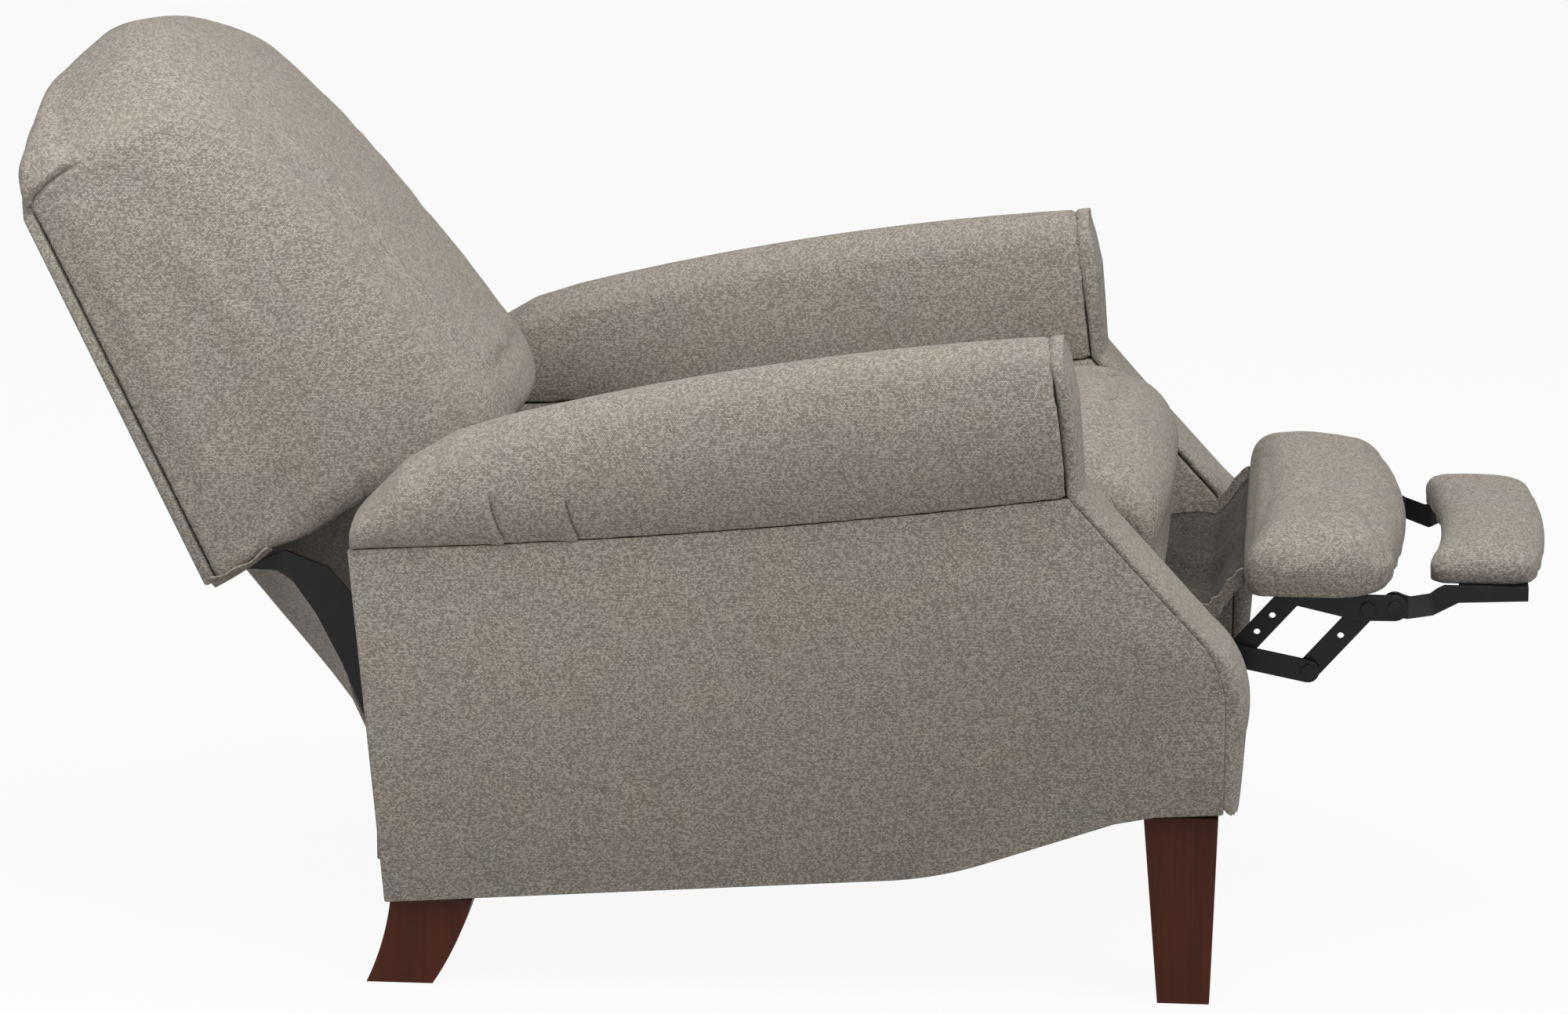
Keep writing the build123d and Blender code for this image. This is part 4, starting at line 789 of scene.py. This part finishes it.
def gusset_place(across, along):
    """Gathered front cloth: a trough from the seat's lip to the rear of the footrest, with soft folds."""
    share = across * 2 - 1
    wall = soft_share(abs(share), 0.86, 0.14)
    x = (min(abs(share) / 0.9, 1.0) * GUSSET_HALF + GUSSET_FLARE * wall) * (1 if share > 0 else -1)
    y = GUSSET_REAR + (GUSSET_FRONT - GUSSET_REAR) * along
    rim = RIM_HEIGHT + RIM_RISE * soft_share(along, 0.0, 0.6) + RIM_END_RISE * soft_share(along, 0.62, 0.38)
    depth = TROUGH_ENDS + TROUGH_MIDDLE * sin(pi * min(1.0, along * 0.75)) - TROUGH_FALL * along
    folds = FOLD_BROAD * sin(across * 21 + 2 * along) + FOLD_FINE * sin(across * 38 + 4 * along + 1.0)
    crumple = SCRUNCH_BROAD * sin(along * 47) + SCRUNCH_FINE * sin(along * 83 + across)
    scrunch = wall * (SCRUNCH_NEAR if share < 0 else SCRUNCH_FAR) * crumple
    swell = sin(pi * along) ** 0.7
    z = rim - (depth - folds * swell) * (1 - wall) + scrunch * swell
    return (x * MM, (y + scrunch * 0.4) * MM, z * MM)


gusset = cloth_grid("front_gusset_cloth", rows=44, columns=150, place=gusset_place, material=shaded_gusset_cloth)
# Painted shade: the trough gets the darkened cloth, and only its ends beyond the edge get the plain cloth
gusset.data.materials.append(taupe_cloth)
for face in gusset.data.polygons:
    face.material_index = int(abs(face.center.x) > GUSSET_SHADE_EDGE * MM)
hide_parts("front_gusset")
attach(gusset, "footrest")
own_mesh(gusset)


# Rear cloth: half width, its top on the back's axes, the knee and the line where it meets the base, each with
# the share of the length where it is, its lower edge, how much its drawn-in sides bow and move, and its rolled
# edges and ripples
FLAP_HALF = 202
FLAP_TOP_U, FLAP_TOP_V = -6.5, 15
KNEE_Y, KNEE_Z, KNEE_AT = 431, 242, 0.58
BASE_Y, BASE_Z, BASE_AT = 382, 186, 0.85
FLAP_END_Z = 149
SIDE_BOW, MIDDLE_BOW = 84, 4
SIDE_OUT, SIDE_KNEE_Y, SIDE_KNEE_Z = 36, 20, 11
FLAP_EDGE, FLAP_RIPPLE = 3.0, 1.6


def flap_place(across, along):
    """Rear cloth from the foot of the back to the base: its sides are drawn in, its middle hangs straight."""
    share = across * 2 - 1
    pull = soft_share(abs(share), 0.6, 0.4)
    top = np.array(on_back(0, FLAP_TOP_U, FLAP_TOP_V + SIDE_OUT * pull))
    knee = np.array((0, (KNEE_Y - SIDE_KNEE_Y * pull) * MM, (KNEE_Z + SIDE_KNEE_Z * pull) * MM))
    low = np.array((0, BASE_Y * MM, BASE_Z * MM))
    hem = np.array((0, BASE_Y * MM, FLAP_END_Z * MM))
    if along < KNEE_AT:
        t = along / KNEE_AT
        bow = np.array((0, -0.5, 1.0)) * (SIDE_BOW * pull - MIDDLE_BOW) * MM * t * (1 - t)
        place = top + (knee - top) * t + bow
    elif along < BASE_AT:
        place = knee + (low - knee) * ((along - KNEE_AT) / (BASE_AT - KNEE_AT))
    else:
        place = low + (hem - low) * ((along - BASE_AT) / (1 - BASE_AT))
    rolled = soft_share(abs(share), 0.97, 0.03) * FLAP_EDGE * MM
    ripple = FLAP_RIPPLE * sin(across * 17 + 3 * along) * sin(pi * min(1.0, along / BASE_AT)) * (1 - pull)
    return (share * FLAP_HALF * MM, place[1] - rolled - abs(ripple) * 0.7 * MM,
            place[2] + rolled - ripple * 0.3 * MM)


flap = cloth_grid("rear_flap_cloth", rows=40, columns=80, place=flap_place, material=taupe_cloth)
relax(flap, 6)
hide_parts("rear_flap")
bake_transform(flap)


# Stage, light and camera: reach of the floor in metres, its grey and how white the camera sees it, and the
# level of the sky; then each lamp's place, aim, size and power, and the camera's direction and distance

FLOOR_REACH, FLOOR_GREY, FLOOR_WHITE = 30, 0.55, 0.93
SKY_LEVEL = 0.22
WHITE = (1.0, 1.0, 1.0, 1.0)
LAMPS = (("key_lamp", (-1.6, -2.4, 3.2), (0, 0, 0.4), 2.4, 85),
         ("top_lamp", (-0.4, -0.1, 3.4), (0, 0, 0.4), 2.6, 89),
         ("rear_lamp", (-1.1, 0.9, 1.1), (-0.2, 0.75, 0.75), 0.8, 7.5))
CAMERA_YAW, CAMERA_PITCH = radians(5.12), radians(14.47)
CAMERA_AIM, CAMERA_AWAY = Vector((0, 0, 0.4)), 6.0
SENSOR_WIDTH, FOCAL_LENGTH = 36, 137.25


def stage_floor():
    """A pale floor that runs on out of sight; it stays white to the camera and keeps a faint shadow."""
    mesh = bpy.data.meshes.new("floor")
    corners = [(x * FLOOR_REACH, y * FLOOR_REACH, 0) for x, y in ((-1, -1), (1, -1), (1, 1), (-1, 1))]
    mesh.from_pydata(corners, [], [(0, 1, 2, 3)])
    floor = bpy.data.objects.new("floor", mesh)
    scene.collection.objects.link(floor)
    finish = Finish("pale_floor", Base_Color=(FLOOR_GREY, FLOOR_GREY, FLOOR_GREY, 1.0), Roughness=0.95,
                    Specular_IOR_Level=0.0)
    glow = finish.add("Emission", {}, {"Color": WHITE, "Strength": 1.0})
    path = finish.tree.nodes.new("ShaderNodeLightPath")
    seen = Value(finish, path.outputs["Is Camera Ray"]) + Value(finish, path.outputs["Is Glossy Ray"])
    matt = Value(finish, finish.shader.outputs[0])
    mixed = finish.add("MixShader", {}, {0: (seen * FLOOR_WHITE).held(), 1: matt, 2: glow})
    finish.put(finish.tree.nodes["Material Output"].inputs[0], mixed)
    mesh.materials.append(finish.material)


def sky():
    """Even light from all round, and white where the camera sees it."""
    world = bpy.data.worlds.new("studio")
    scene.world = world
    world.use_nodes = True
    tree = world.node_tree
    light = tree.nodes["Background"]
    light.inputs["Color"].default_value = WHITE
    light.inputs["Strength"].default_value = SKY_LEVEL
    white = tree.nodes.new("ShaderNodeBackground")
    white.inputs["Color"].default_value = WHITE
    path = tree.nodes.new("ShaderNodeLightPath")
    mix = tree.nodes.new("ShaderNodeMixShader")
    tree.links.new(path.outputs["Is Camera Ray"], mix.inputs[0])
    tree.links.new(light.outputs[0], mix.inputs[1])
    tree.links.new(white.outputs[0], mix.inputs[2])
    tree.links.new(mix.outputs[0], tree.nodes["World Output"].inputs[0])


def soft_lamp(name, place, aim, size, power):
    lamp = bpy.data.lights.new(name, "AREA")
    lamp.size = size
    lamp.energy = power
    holder = bpy.data.objects.new(name, lamp)
    scene.collection.objects.link(holder)
    holder.location = place
    holder.rotation_mode = "QUATERNION"
    holder.rotation_quaternion = (Vector(aim) - Vector(place)).to_track_quat("-Z", "Y")
    holder.visible_camera = False


stage_floor()
sky()
for lamp in LAMPS:
    soft_lamp(*lamp)

level = cos(CAMERA_PITCH)
toward = Vector((-cos(CAMERA_YAW) * level, -sin(CAMERA_YAW) * level, sin(CAMERA_PITCH)))
lens = bpy.data.cameras.new("camera")
lens.sensor_width = SENSOR_WIDTH
lens.lens = FOCAL_LENGTH
camera = bpy.data.objects.new("camera", lens)
scene.collection.objects.link(camera)
camera.location = CAMERA_AIM + toward * CAMERA_AWAY
camera.rotation_mode = "QUATERNION"
camera.rotation_quaternion = (-toward).to_track_quat("-Z", "Y")
scene.camera = camera
